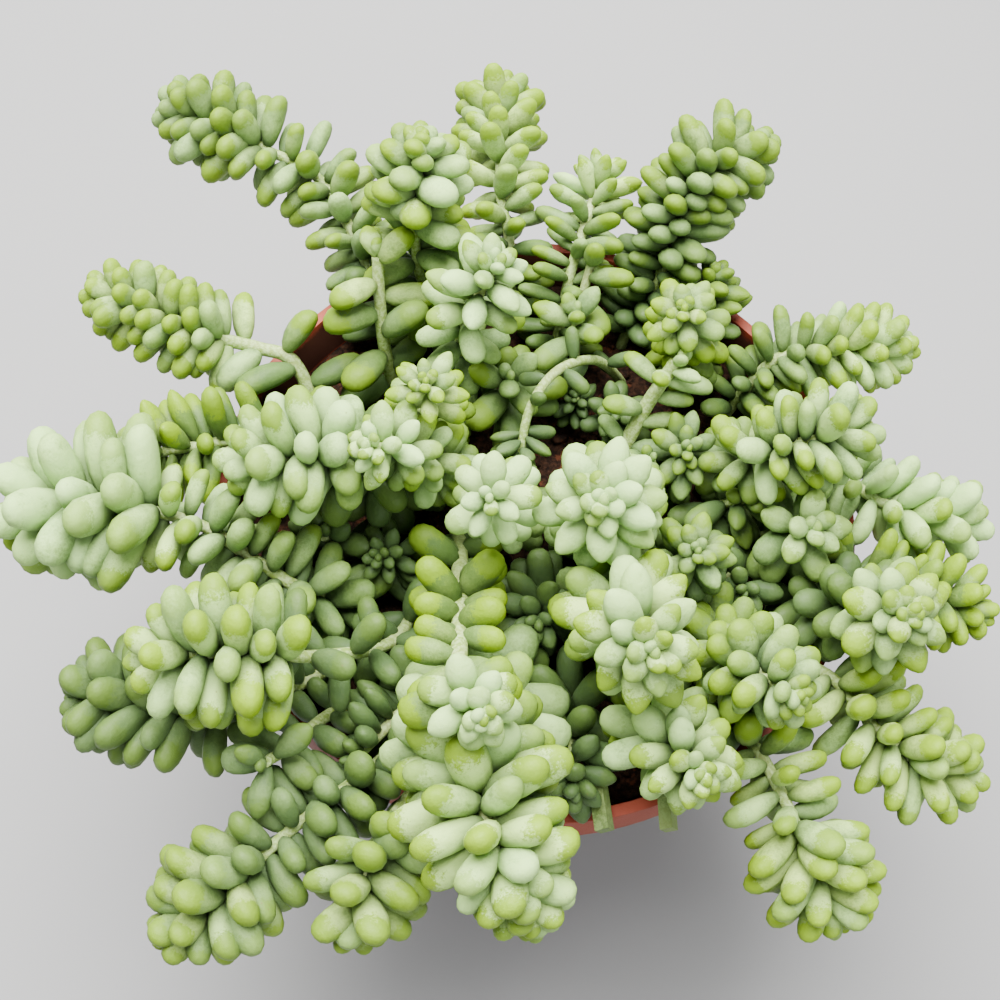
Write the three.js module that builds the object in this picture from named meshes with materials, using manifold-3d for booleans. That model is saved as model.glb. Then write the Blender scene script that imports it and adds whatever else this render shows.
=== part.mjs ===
// Potted burro's tail: a trailing stonecrop with plump leaves, in a round plastic nursery pot.
// Millimetres, +Z up. The origin is the middle of the pot's foot, and -Y is the near side.

import * as THREE from 'three';
import { mergeVertices } from 'three/addons/utils/BufferGeometryUtils.js';
import Module from 'manifold-3d';

const wasm = await Module();
wasm.setup();

// Driving dimensions of the pot
const potHeight = 95;
const rimRadius = 60;
const footRadius = 43;
const wall = 1.6;
const rimBandHeight = 11;
const rimBandStep = 1.6;
const rimLip = 2;
const rimStepDepth = 2;
const potSides = 40;
const drainHoles = 6;
const drainHoleRadius = 4;
const drainHoleSides = 8;
const drainCircle = 27;
const cutSpare = 1;

// Driving dimensions of the soil
const soilDrop = 9;
const soilRelief = 0.5;
const soilWaves = { x: 5, y: 6, skew: 11 };
const soilRings = [0.7, 0.38];
const soilSlack = 0.2;
const touchGap = 0.3;
const footDepth = 6;
const holeSlack = 1.3;

// Driving dimensions of the stems and leaves
const stemRadius = 1.5;
const stemSides = 4;
const stemStep = 8;
const stemCap = 1;
const bareFoot = 5.5;
const curveSteps = 200;
const heartShare = 0.42;
const heartTaper = 0.7;
const leafSides = 4;
const leafBelly = 0.7;
const reachShare = 1.28;
const leafWidthShare = 0.8;
const leafThickShare = 0.64;
const firstLeaf = 0.3;
const leafPitch = 0.27;
const lowerPitch = 0.8;
const youngLeaves = 7;
const youngPitch = 0.7;
const youngSize = 0.4;
const youngTilt = 14;
const grownTilt = 74;
const goldenAngle = Math.PI * (3 - Math.sqrt(5));
const uprightShare = 0.02;

// Room that leaves keep from each other, from the rim and from the pot's inner wall
const clearance = 0.3;
const rimClearance = 1;
const rimReach = 8;
const wallClearance = 4.5;
const reserveStep = 4;

// A leaf that finds no room is tried again, leaning less or more, swung round its stem or smaller
const leafTries = [
  { lean: 1, swing: 0, size: 1 },
  { lean: 0.7, swing: 0, size: 1 },
  { lean: 1.25, swing: 0, size: 1 },
  { lean: 1, swing: 0.5, size: 0.9 },
  { lean: 1, swing: -0.5, size: 0.9 },
  { lean: 0.5, swing: 0, size: 0.85 },
];

// The stems, seen from above: foot gives where the stem stands in the soil, via and tip its way
// to the growing point, with heights above the rim. leaf is the length of a grown leaf, dense the
// length of the packed head behind the tip, and older the length of the leaves below it where it
// differs. slim is the leaves' width against a plump one, young the number of leaves that are
// still growing, and lower the room between the leaves below the head, as a share of their length.
// Where pairs is set, those leaves stand left and right of the stem.
const stems = [
  { name: 'sprout_front_left', leaf: 8.6, dense: 3, young: 3, lower: 0.6, pairs: true, foot: [-24, -38],
    via: [[-31, -47, 3], [-35, -54, 8]], tip: [-37, -59, 16] },
  { name: 'tail_front', leaf: 11, dense: 36, foot: [-3, -35],
    via: [[-5, -45, 13], [-4, -56, 22], [-1, -66, 26], [4, -72, 23]], tip: [7, -76, 18] },
  { name: 'tail_left', leaf: 12, older: 8.5, dense: 24, foot: [-32, -23],
    via: [[-38, -26, 6], [-47, -23, 10], [-57, -19, 13], [-70, -18, 15], [-80, -19, 14]],
    tip: [-87, -20, 10] },
  { name: 'tail_left_front', leaf: 9.6, older: 8, dense: 22, foot: [-19, -20],
    via: [[-22, -33, 5], [-32, -41, 17], [-40, -44, 24], [-49, -46, 26]], tip: [-56, -47, 23] },
  { name: 'tail_left_under', leaf: 9, dense: 20, foot: [-28, -29],
    via: [[-33, -38, 0], [-44, -47, 4], [-56, -50, 5], [-66, -48, 4]], tip: [-72, -49, 2] },
  { name: 'rosette_spiral', leaf: 8.5, dense: 11, foot: [12, 0],
    via: [[13, -4, 8], [11, -13, 28]], tip: [10, -19, 42] },
  { name: 'rosette_front', leaf: 8.9, dense: 11, foot: [16, -13],
    via: [[17, -20, 8], [16, -32, 28]], tip: [19, -42, 43] },
  { name: 'rosette_front_right', leaf: 8, dense: 11, foot: [25, -30],
    via: [[25, -39, 4], [25, -47, 18]], tip: [29, -55, 28] },
  { name: 'stem_long_middle', leaf: 6.2, older: 7.6, dense: 7, lower: 0.9, pairs: true, foot: [-14, -5],
    via: [[-12, -17, 6], [-10, -31, 18], [-8, -46, 32]], tip: [-4, -55, 43] },
  { name: 'tail_left_inner', leaf: 9.2, dense: 20, foot: [-27, 4],
    via: [[-29, -3, 12], [-36, -8, 24], [-44, -11, 26]], tip: [-49, -11, 24] },
  { name: 'rosette_left_inner', leaf: 6.2, dense: 7, foot: [-18, 7],
    via: [[-18, -2, 14], [-22, -7, 27]], tip: [-27, -12, 37] },
  { name: 'rosette_pale', leaf: 6, dense: 6, foot: [-21, 18],
    via: [[-21, 9, 12], [-20, 3, 26]], tip: [-20, 0, 38] },
  { name: 'stem_back_left', leaf: 9, dense: 1, young: 3, lower: 0.8, pairs: true, foot: [-31, 24],
    via: [[-33, 27, 6], [-34, 31, 14]], tip: [-35, 36, 21] },
  { name: 'rosette_blue', leaf: 8, older: 8, dense: 9, foot: [-14, 28],
    via: [[-18, 25, 8], [-16, 24, 24]], tip: [-12, 25, 37] },
  { name: 'head_back_left', leaf: 9.2, dense: 16, foot: [-22, 38],
    via: [[-27, 40, 6], [-29, 43, 20]], tip: [-28, 49, 37] },
  { name: 'tail_back_left', leaf: 9.8, older: 8, dense: 19, foot: [-31, 36],
    via: [[-40, 46, 6], [-51, 60, 11], [-63, 64, 14], [-74, 68, 15]], tip: [-82, 72, 14] },
  { name: 'tail_left_back', leaf: 7.6, older: 10, dense: 27, lower: 1.0, pairs: true, foot: [-44, 15],
    via: [[-50, 22, 3], [-57, 23, 5], [-69, 23, 8], [-80, 26, 10]], tip: [-88, 28, 9] },
  { name: 'tail_back', leaf: 8, dense: 18, foot: [-10, 46],
    via: [[-12, 56, 4], [-15, 65, 7], [-17, 79, 8]], tip: [-19, 94, 5] },
  { name: 'tail_back_right', leaf: 10, older: 8, dense: 27, slim: 0.86, lower: 0.65, foot: [14, 44],
    via: [[20, 54, 7], [21, 60, 16], [26, 66, 23]], tip: [34, 71, 22] },
  { name: 'bunch_back_right', leaf: 8, dense: 12, foot: [30, 43],
    via: [[28, 47, 4]], tip: [29, 50, 9] },
  { name: 'stem_back_middle', leaf: 8, dense: 10, slim: 0.85, foot: [0, 37],
    via: [[1, 48, 5], [3, 60, 9]], tip: [5, 72, 9] },
  { name: 'rosette_back_right', leaf: 6.5, dense: 8, foot: [26, 37],
    via: [[25, 34, 8]], tip: [22, 28, 27] },
  { name: 'stem_sparse', leaf: 7.6, dense: 5, young: 3, lower: 1.1, pairs: true, foot: [14, 9],
    via: [[15, 11, 4], [18, 17, 11]], tip: [22, 22, 20] },
  { name: 'tail_right_back', leaf: 7.5, dense: 19, foot: [36, 29],
    via: [[42, 34, 5], [49, 36, 8], [58, 37, 9]], tip: [66, 39, 7] },
  { name: 'tail_right', leaf: 8.2, older: 7, dense: 17, foot: [37, 16],
    via: [[36, 9, 9], [38, 4, 22], [45, 4, 29]], tip: [52, 7, 28] },
  { name: 'cluster_right', leaf: 7, dense: 8, foot: [26, 14],
    via: [[26, 12, 2]], tip: [26, 8, 13] },
  { name: 'stem_curved_leaves', leaf: 8.5, dense: 6, foot: [33, 5],
    via: [[34, 3, 2]], tip: [38, 1, 11] },
  { name: 'rosette_right', leaf: 8, dense: 6, foot: [42, 1],
    via: [[44, -3, 6]], tip: [47, -8, 20] },
  { name: 'tail_right_thick', leaf: 8.2, dense: 16, foot: [46, 13],
    via: [[55, 11, 4], [63, 6, 6], [71, 4, 6]], tip: [79, 6, 3] },
  { name: 'head_right', leaf: 8, dense: 12, foot: [45, -9],
    via: [[52, -15, 5], [58, -21, 17]], tip: [61, -25, 28] },
  { name: 'tail_right_slim', leaf: 7.5, dense: 16, foot: [49, -2],
    via: [[58, -8, 5], [66, -11, 6], [74, -12, 6]], tip: [80, -13, 4] },
  { name: 'head_right_inner', leaf: 7.5, dense: 13, foot: [33, -17],
    via: [[34, -26, 8], [38, -35, 21]], tip: [43, -40, 26] },
  { name: 'tail_right_front', leaf: 8.3, dense: 16, foot: [43, -21],
    via: [[54, -28, 4], [62, -36, 4], [70, -41, 3]], tip: [78, -41, 0] },
  { name: 'tail_front_right', leaf: 9.2, older: 8.5, dense: 17, foot: [35, -32],
    via: [[42, -42, 3], [47, -51, 5], [52, -59, 2]], tip: [58, -66, -4] },
  { name: 'tail_front_left', leaf: 9, older: 8, dense: 16, foot: [-15, -43],
    via: [[-22, -56, 6], [-32, -67, 8], [-40, -77, 7]], tip: [-47, -84, 4] },
  { name: 'tail_front_left_inner', leaf: 9, dense: 17, foot: [-7, -46],
    via: [[-13, -56, 4], [-17, -65, 9], [-19, -74, 11]], tip: [-19, -80, 7] },
  { name: 'stem_front_dark', leaf: 8, dense: 12, foot: [-16, -33],
    via: [[-18, -44, 4]], tip: [-24, -54, 7] },
  { name: 'rosette_small_right', leaf: 5.8, dense: 7, foot: [28, -6],
    via: [[28, -12, 6]], tip: [27, -18, 26] },
  { name: 'rosette_white', leaf: 6.8, dense: 4, young: 3, lower: 0.5, foot: [-5, 0],
    via: [[-5, -6, 8], [-6, -13, 25]], tip: [-7, -20, 40] },
  { name: 'stem_arching', leaf: 5.5, dense: 5, foot: [14, 33],
    via: [[8, 29, 6], [1, 20, 15], [-3, 10, 18]], tip: [-4, 2, 13] },
  { name: 'tail_left_yellow', leaf: 8.5, dense: 12, foot: [-41, 6],
    via: [[-48, 8, 2], [-56, 3, 5], [-64, -1, 7]], tip: [-73, -3, 5] },
  { name: 'shoot_back', leaf: 10, dense: 3, young: 3, lower: 0.5, foot: [4, 42],
    via: [[4, 44, 3]], tip: [5, 49, 10] },
  { name: 'shoot_back_inner', leaf: 9.5, dense: 3, young: 3, lower: 0.5, foot: [4, 32],
    via: [[4, 33, 1]], tip: [3, 35, 11] },
  { name: 'shoot_left', leaf: 8, dense: 10, foot: [-34, -12],
    via: [[-35, -13, 0]], tip: [-37, -15, 6] },
  { name: 'shoot_middle', leaf: 6, dense: 8, foot: [-24, -12],
    via: [[-24, -14, 0]], tip: [-26, -18, 7] },
  { name: 'shoot_front', leaf: 8, dense: 8, foot: [4, -18],
    via: [[4, -21, 2]], tip: [3, -27, 9] },
  { name: 'shoot_front_low', leaf: 9, dense: 12, foot: [10, -33],
    via: [[11, -39, 1], [11, -47, 4]], tip: [12, -54, 8] },
  { name: 'shoot_right', leaf: 7.5, dense: 8, foot: [37, -9],
    via: [[38, -10, 1]], tip: [38, -16, 8] },
  { name: 'shoot_blue_low', leaf: 9.5, dense: 3, young: 3, lower: 0.5, foot: [-8, 21],
    via: [[-8, 21, 1]], tip: [-8, 19, 11] },
  { name: 'shoot_back_small', leaf: 4.5, dense: 5, young: 3, foot: [6, 24],
    via: [[6, 24, -4]], tip: [5, 23, 1] },
  { name: 'shoot_inner_low', leaf: 6.5, dense: 4, young: 3, lower: 0.5, foot: [13, 21.5],
    via: [[13, 21.5, -3]], tip: [13, 20, 3] },
  { name: 'shoot_inner_right', leaf: 8, dense: 3, young: 3, lower: 0.5, foot: [20, 8],
    via: [[20, 8, 1]], tip: [20, 7, 9] },
];

// Stem stubs left by cut tails, with no leaves
const stubs = [
  { name: 'stub_front', foot: [13, -41], via: [[15.5, -50, 3]], tip: [18, -60, 4] },
  { name: 'stub_front_right', foot: [25, -41], via: [[27, -49, 3]], tip: [28.5, -58.5, 4] },
];

// A loose chip of bark that lies on the soil at the back left
const chip = { place: [-27, 46], length: 8, width: 3.4, thickness: 1.4, turn: 25 };

// Finishes
const finishes = {
  pot: { color: 0xb4513f, roughness: 0.55, metalness: 0 },
  soil: { color: 0x3a2620, roughness: 0.95, metalness: 0 },
  stem: { color: 0xa3bf8a, roughness: 0.6, metalness: 0 },
  chip: { color: 0xb98a58, roughness: 0.8, metalness: 0 },
};

const soilTop = potHeight - soilDrop;

// Geometry to solid and back

function solidFrom(geometry) {
  const bare = geometry.clone();
  bare.deleteAttribute('normal');
  bare.deleteAttribute('uv');
  const merged = mergeVertices(bare, 1e-4);
  const corners = [];
  for (let i = 0; i < merged.index.count; i += 3) {
    const [a, b, c] = [0, 1, 2].map((k) => merged.index.getX(i + k));
    if (a !== b && b !== c && c !== a) corners.push(a, b, c);
  }
  return new wasm.Manifold(new wasm.Mesh({
    numProp: 3,
    vertProperties: new Float32Array(merged.attributes.position.array),
    triVerts: new Uint32Array(corners),
  }));
}

// The largest closed piece: loose scraps and sealed hollows go
function mainPiece(solid) {
  const pieces = solid.decompose();
  return pieces.reduce((best, piece) => (piece.volume() > best.volume() ? piece : best));
}

function meshFrom(solid, name, finish) {
  const { vertProperties, triVerts } = mainPiece(solid).getMesh();
  const geometry = new THREE.BufferGeometry();
  geometry.setAttribute('position', new THREE.BufferAttribute(new Float32Array(vertProperties), 3));
  geometry.setIndex(new THREE.BufferAttribute(new Uint32Array(triVerts), 1));
  geometry.computeVertexNormals();
  const mesh = new THREE.Mesh(geometry, new THREE.MeshStandardMaterial(finish));
  mesh.name = name;
  return mesh;
}

// A profile of [radius, height] points turned about the Z axis
function turned(profile, sides) {
  const points = profile.map(([radius, height]) => new THREE.Vector2(radius, height));
  return new THREE.LatheGeometry(points, sides).rotateX(Math.PI / 2);
}

function pin(radius, bottom, top, sides, x, y) {
  const geometry = new THREE.CylinderGeometry(radius, radius, top - bottom, sides);
  geometry.rotateX(Math.PI / 2);
  geometry.translate(x, y, (top + bottom) / 2);
  return solidFrom(geometry);
}

// Pot

function outerRadiusAt(height) {
  const taperTop = potHeight - rimBandHeight;
  const share = THREE.MathUtils.clamp(height / taperTop, 0, 1);
  return THREE.MathUtils.lerp(footRadius, rimRadius - rimBandStep, share);
}

function buildPot() {
  const bandBottom = potHeight - rimBandHeight;
  const neck = outerRadiusAt(bandBottom);
  let pot = solidFrom(turned([
    [0, 0],
    [footRadius, 0],
    [neck, bandBottom],
    [rimRadius, bandBottom],
    [rimRadius, potHeight],
    [rimRadius - rimLip, potHeight],
    [neck - wall, bandBottom - rimStepDepth],
    [outerRadiusAt(wall) - wall, wall],
    [0, wall],
  ], potSides));
  for (let i = 0; i < drainHoles; i += 1) {
    const turn = (2 * Math.PI * i) / drainHoles;
    const x = drainCircle * Math.cos(turn);
    const y = drainCircle * Math.sin(turn);
    pot = pot.subtract(pin(drainHoleRadius, -cutSpare, wall + cutSpare, drainHoleSides, x, y));
  }
  return meshFrom(pot, 'pot', finishes.pot);
}

// Paths of the stems

function pathOf(stem) {
  const [x, y] = stem.foot;
  const points = [
    new THREE.Vector3(x, y, soilTop - footDepth),
    new THREE.Vector3(x, y, soilTop - footDepth / 3),
    new THREE.Vector3(x, y, soilTop + footDepth / 3),
    ...[...stem.via, stem.tip].map(([px, py, pz]) => new THREE.Vector3(px, py, potHeight + pz)),
  ];
  const curve = new THREE.CatmullRomCurve3(points, false, 'catmullrom', 0.5);
  return { curve, length: curve.getLength() };
}

// A round bar of the given profile, bent along the curve; the profile's heights run from foot to tip
function bentAlong(curve, length, profile) {
  const geometry = turned(profile, stemSides);
  const frames = curve.computeFrenetFrames(curveSteps, false);
  const position = geometry.attributes.position;
  const point = new THREE.Vector3();
  for (let i = 0; i < position.count; i += 1) {
    const share = THREE.MathUtils.clamp(position.getZ(i) / length, 0, 1);
    const at = Math.round(share * curveSteps);
    point.copy(curve.getPointAt(share))
      .addScaledVector(frames.normals[at], position.getX(i))
      .addScaledVector(frames.binormals[at], position.getY(i));
    position.setXYZ(i, point.x, point.y, point.z);
  }
  return solidFrom(geometry);
}

// The bare stem, and the thicker heart of the packed tail that its leaves stand out of
function stemSolid(stem, curve, length) {
  const profile = [[0, 0], [stemRadius, 0]];
  const dense = stem.leaf ? Math.min(stem.dense, length - footDepth - bareFoot) : 0;
  const bareEnd = length - dense;
  const heart = stem.leaf ? Math.max(stemRadius, stem.leaf * heartShare) : stemRadius;
  const bareSteps = Math.max(1, Math.round(bareEnd / stemStep));
  for (let i = 1; i <= bareSteps; i += 1) profile.push([stemRadius, (bareEnd * i) / bareSteps]);
  const denseSteps = Math.round(dense / stemStep);
  for (let i = 1; i < denseSteps; i += 1) profile.push([heart, bareEnd + (dense * i) / denseSteps]);
  if (dense > 0) profile.push([heart * heartTaper, length - stemCap]);
  profile.push([0, length]);
  return bentAlong(curve, length, profile);
}

// Room taken so far: a list of capsules, each with the stem that it belongs to
const taken = [];

function segmentDistance(a, b, c, d) {
  const u = b.clone().sub(a);
  const v = d.clone().sub(c);
  const w = a.clone().sub(c);
  const uu = u.dot(u);
  const uv = u.dot(v);
  const vv = v.dot(v);
  const uw = u.dot(w);
  const vw = v.dot(w);
  const det = uu * vv - uv * uv;
  let s = det > 1e-9 ? THREE.MathUtils.clamp((uv * vw - vv * uw) / det, 0, 1) : 0.5;
  const t = THREE.MathUtils.clamp((uv * s + vw) / vv, 0, 1);
  s = THREE.MathUtils.clamp((uv * t - uw) / uu, 0, 1);
  return a.clone().addScaledVector(u, s).distanceTo(c.clone().addScaledVector(v, t));
}

function clearOfPot(point, radius) {
  const reach = Math.hypot(point.x, point.y);
  const height = point.z - potHeight;
  const rimMiddle = rimRadius - rimLip / 2;
  const rimSpan = Math.hypot(reach - rimMiddle, Math.max(0, height));
  if (height > 0) return rimSpan > radius + rimLip / 2 + rimClearance || reach < rimMiddle - rimReach;
  if (reach > rimRadius) return reach - radius > rimRadius + clearance;
  const aboveSoil = point.z - radius > soilTop + soilRelief + clearance;
  return reach + radius < rimRadius - wallClearance && aboveSoil;
}

function isFree(stemName, a, b, radius) {
  const middle = a.clone().lerp(b, 0.5);
  if (![a, middle, b].every((point) => clearOfPot(point, radius))) return false;
  return taken.every((other) => other.stem === stemName
    || segmentDistance(a, b, other.a, other.b) > radius + other.radius + clearance);
}

function reserveStem(stem) {
  const { curve, length } = pathOf(stem);
  const count = Math.ceil(length / reserveStep);
  const points = curve.getSpacedPoints(count);
  for (let i = 0; i < count; i += 1) {
    taken.push({ stem: stem.name, a: points[i], b: points[i + 1], radius: stemRadius });
  }
}

function reserveChip() {
  const [x, y] = chip.place;
  const middle = new THREE.Vector3(x, y, soilTop + soilRelief + chip.thickness / 2);
  const half = new THREE.Vector3(chip.length / 2, 0, 0)
    .applyAxisAngle(new THREE.Vector3(0, 0, 1), THREE.MathUtils.degToRad(chip.turn));
  const radius = chip.width / 2 + touchGap;
  taken.push({ stem: 'wood_chip', a: middle.clone().sub(half), b: middle.clone().add(half), radius });
}

// Leaves

// One plump leaf on the Z axis, widest towards its tip
function leafShape(length, width, thickness) {
  const profile = [[0, 0], [0.5, leafBelly], [0, 1]];
  return turned(profile, leafSides).scale(width, thickness, length);
}

// Where each leaf stands: the youngest at the tip, then round the stem by the golden angle
function leafPlaces(stem, length) {
  const places = [];
  let back = firstLeaf;
  let index = 0;
  while (back < length - footDepth - bareFoot) {
    const grown = Math.min(1, index / (stem.young ?? youngLeaves));
    places.push({ index, back, grown, paired: stem.pairs && back > stem.dense });
    const crowd = THREE.MathUtils.lerp(youngPitch, 1, grown);
    const lower = (stem.lower ?? lowerPitch) * (stem.older ?? stem.leaf);
    back += back < stem.dense ? leafPitch * stem.leaf * crowd : lower;
    index += 1;
  }
  return places;
}

// The level direction across a stem
function levelAcross(tangent) {
  const across = tangent.clone().cross(new THREE.Vector3(0, 0, 1));
  return across.length() > uprightShare ? across.normalize() : new THREE.Vector3(1, 0, 0);
}

function leafSolids(stem, curve, length) {
  const frames = curve.computeFrenetFrames(curveSteps, false);
  const solids = [];
  for (const { index, back, grown, paired } of leafPlaces(stem, length)) {
    const share = 1 - back / length;
    const at = Math.round(share * curveSteps);
    const start = curve.getPointAt(share);
    const fullSize = back < stem.dense ? stem.leaf : stem.older ?? stem.leaf;
    const grownSize = fullSize * THREE.MathUtils.lerp(youngSize, 1, grown);
    const width = grownSize * leafWidthShare * (stem.slim ?? 1);
    const tilt = THREE.MathUtils.lerp(youngTilt, grownTilt, Math.sqrt(grown));
    const across = paired ? levelAcross(frames.tangents[at]) : frames.normals[at];
    const upward = across.clone().cross(frames.tangents[at]).normalize();
    for (const { lean, swing, size } of leafTries) {
      const turn = index * (paired ? Math.PI : goldenAngle) + swing;
      const around = across.clone().multiplyScalar(Math.cos(turn))
        .addScaledVector(upward, Math.sin(turn));
      const angle = THREE.MathUtils.degToRad(tilt * lean);
      const along = frames.tangents[at].clone().multiplyScalar(Math.cos(angle))
        .addScaledVector(around, Math.sin(angle)).normalize();
      const reach = grownSize * size * reachShare;
      const low = start.clone().addScaledVector(along, width / 2);
      const high = start.clone().addScaledVector(along, reach - width / 2);
      if (!isFree(stem.name, low, high, width / 2)) continue;
      taken.push({ stem: stem.name, a: low, b: high, radius: width / 2 });
      const side = frames.tangents[at].clone().cross(along).normalize();
      const face = along.clone().cross(side);
      const geometry = leafShape(reach, width, width * leafThickShare / leafWidthShare);
      geometry.applyMatrix4(new THREE.Matrix4().makeBasis(side, face, along).setPosition(start));
      solids.push(solidFrom(geometry));
      break;
    }
  }
  return solids;
}

function buildStem(stem) {
  const { curve, length } = pathOf(stem);
  let solid = stemSolid(stem, curve, length);
  if (stem.leaf) {
    for (const leaf of leafSolids(stem, curve, length)) solid = solid.add(leaf);
  }
  return meshFrom(solid, stem.name, finishes.stem);
}

// Soil

function soilHeight(x, y) {
  return soilTop + soilRelief * Math.sin(x / soilWaves.x) * Math.cos(y / soilWaves.y + x / soilWaves.skew);
}

function buildSoil() {
  const bottom = wall + touchGap;
  const shoulder = potHeight - rimBandHeight - rimStepDepth;
  const inset = wall + touchGap + soilSlack;
  const topRadius = outerRadiusAt(shoulder) - inset;
  const geometry = turned([
    [0, bottom],
    [outerRadiusAt(bottom) - inset, bottom],
    [topRadius, shoulder],
    [topRadius, soilTop],
    ...soilRings.map((share) => [topRadius * share, soilTop]),
    [0, soilTop],
  ], potSides);
  const position = geometry.attributes.position;
  for (let i = 0; i < position.count; i += 1) {
    const x = position.getX(i);
    const y = position.getY(i);
    const onTop = position.getZ(i) > shoulder + touchGap;
    const atEdge = Math.hypot(x, y) > topRadius - touchGap;
    if (onTop && !atEdge) position.setZ(i, soilHeight(x, y));
  }
  let soil = solidFrom(geometry);
  const holeRadius = (stemRadius + touchGap) * holeSlack;
  const holeBottom = soilTop - footDepth - touchGap;
  for (const { foot: [x, y] } of [...stems, ...stubs]) {
    soil = soil.subtract(pin(holeRadius, holeBottom, soilTop + footDepth, stemSides, x, y));
  }
  return meshFrom(soil, 'soil', finishes.soil);
}

// Wood chip on the soil

function buildChip() {
  const [x, y] = chip.place;
  const geometry = new THREE.BoxGeometry(chip.length, chip.width, chip.thickness);
  geometry.rotateZ(THREE.MathUtils.degToRad(chip.turn));
  geometry.translate(x, y, soilTop + soilRelief + touchGap / 2 + chip.thickness / 2);
  return meshFrom(solidFrom(geometry), 'wood_chip', finishes.chip);
}

const plant = new THREE.Group();
plant.name = 'potted_burros_tail';
plant.add(buildPot(), buildSoil(), buildChip());
reserveChip();
for (const stem of [...stems, ...stubs]) reserveStem(stem);
for (const stem of [...stems, ...stubs]) plant.add(buildStem(stem));

export default plant;
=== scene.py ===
"""Looks of a potted burro's tail: plump leaves on trailing stems, in a round plastic nursery pot.

Every length below is in millimetres and is turned into metres by MM where a mesh is made. Heights of
the stems are counted from the pot's rim, as the plant is measured from above.
"""

import logging
import math
import random
from dataclasses import dataclass, field
from enum import Enum
from typing import Any, Iterator, NamedTuple, Sequence

import bpy
import numpy as np
from mathutils import Matrix, Vector


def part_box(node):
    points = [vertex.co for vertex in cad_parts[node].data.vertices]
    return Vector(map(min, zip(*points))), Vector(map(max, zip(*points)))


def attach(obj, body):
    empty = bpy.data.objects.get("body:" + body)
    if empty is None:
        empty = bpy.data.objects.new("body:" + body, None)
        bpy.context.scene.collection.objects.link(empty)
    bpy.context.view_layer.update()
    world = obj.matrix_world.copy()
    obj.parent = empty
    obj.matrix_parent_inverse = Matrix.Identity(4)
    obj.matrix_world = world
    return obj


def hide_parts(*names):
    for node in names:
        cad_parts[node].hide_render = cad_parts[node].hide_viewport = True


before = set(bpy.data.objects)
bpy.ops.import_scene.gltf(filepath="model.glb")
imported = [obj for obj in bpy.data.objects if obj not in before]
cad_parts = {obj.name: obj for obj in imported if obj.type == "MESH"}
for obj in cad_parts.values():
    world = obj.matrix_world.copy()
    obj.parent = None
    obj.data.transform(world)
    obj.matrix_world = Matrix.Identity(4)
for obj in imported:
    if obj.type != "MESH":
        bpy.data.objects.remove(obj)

MM = 0.001
TINY = 1e-9
BODY = "root"
GOLDEN_ANGLE = math.pi * (3 - math.sqrt(5))
LOG = logging.getLogger("burros_tail")

Point = tuple[float, float, float]
Span = tuple[float, float]


class Tone(NamedTuple):
    """Colour of a leaf: its shares of yellow and pale wax, of painted shade, and of painted shade in
    crevices.
    """

    yellow: float
    wax: float
    shade: float
    crevices: float


class Tint(Enum):
    """The tones that stems grow their leaves in, with painted shade for stems that stand in shade."""

    # Each tone: yellow, wax, painted shade, and painted shade in crevices
    BLUE = Tone(0.38, 0.84, 0.0, 1.05)
    CHALK = Tone(0.36, 1.00, 0.0, 0.72)
    MILKY = Tone(0.42, 1.10, 0.0, 0.42)
    PALE = Tone(0.62, 0.96, 0.0, 1.05)
    FROST = Tone(0.85, 0.80, 0.0, 0.55)
    SILVER = Tone(0.68, 0.78, 0.0, 1.1)
    GREEN = Tone(1.15, 0.66, 0.05, 0.85)
    SUNNY = Tone(1.25, 0.74, 0.0, 0.85)
    MOSS = Tone(1.25, 0.65, 0.38, 1.0)
    DEEP = Tone(0.62, 0.62, 0.30, 0.95)
    LIME = Tone(1.60, 0.34, 0.0, 0.75)
    DARK = Tone(0.70, 0.50, 0.76, 1.1)


@dataclass(frozen=True)
class StemPlan:
    """One stem: where it stands, the way it takes and how it is clothed.

    foot is its place in the soil; via and tip lead to its growing point, with heights above the rim.
    leaf is the length of a grown leaf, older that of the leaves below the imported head, dense the
    length of that head, pack the way from leaf to leaf there as a share of a leaf, slim the width
    of the leaves against plump ones, sparse the room between the lower leaves against the usual,
    lean the angle between a grown leaf and the stem, young the length of the growing end against
    the usual, and bar the bare stem's radius. pairs sets the lower leaves in pairs, left and right
    of the stem.
    """

    name: str
    leaf: float
    dense: float
    foot: tuple[float, float]
    via: tuple[Point, ...]
    tip: Point
    tint: Tint = Tint.SILVER
    older: float = 0.0
    slim: float = 1.0
    sparse: float = 1.0
    pack: float = 0.046
    lean: float = 72
    young: float = 1.0
    bar: float = 1.25
    lower_tint: Tint | None = None
    pairs: bool = False


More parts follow.
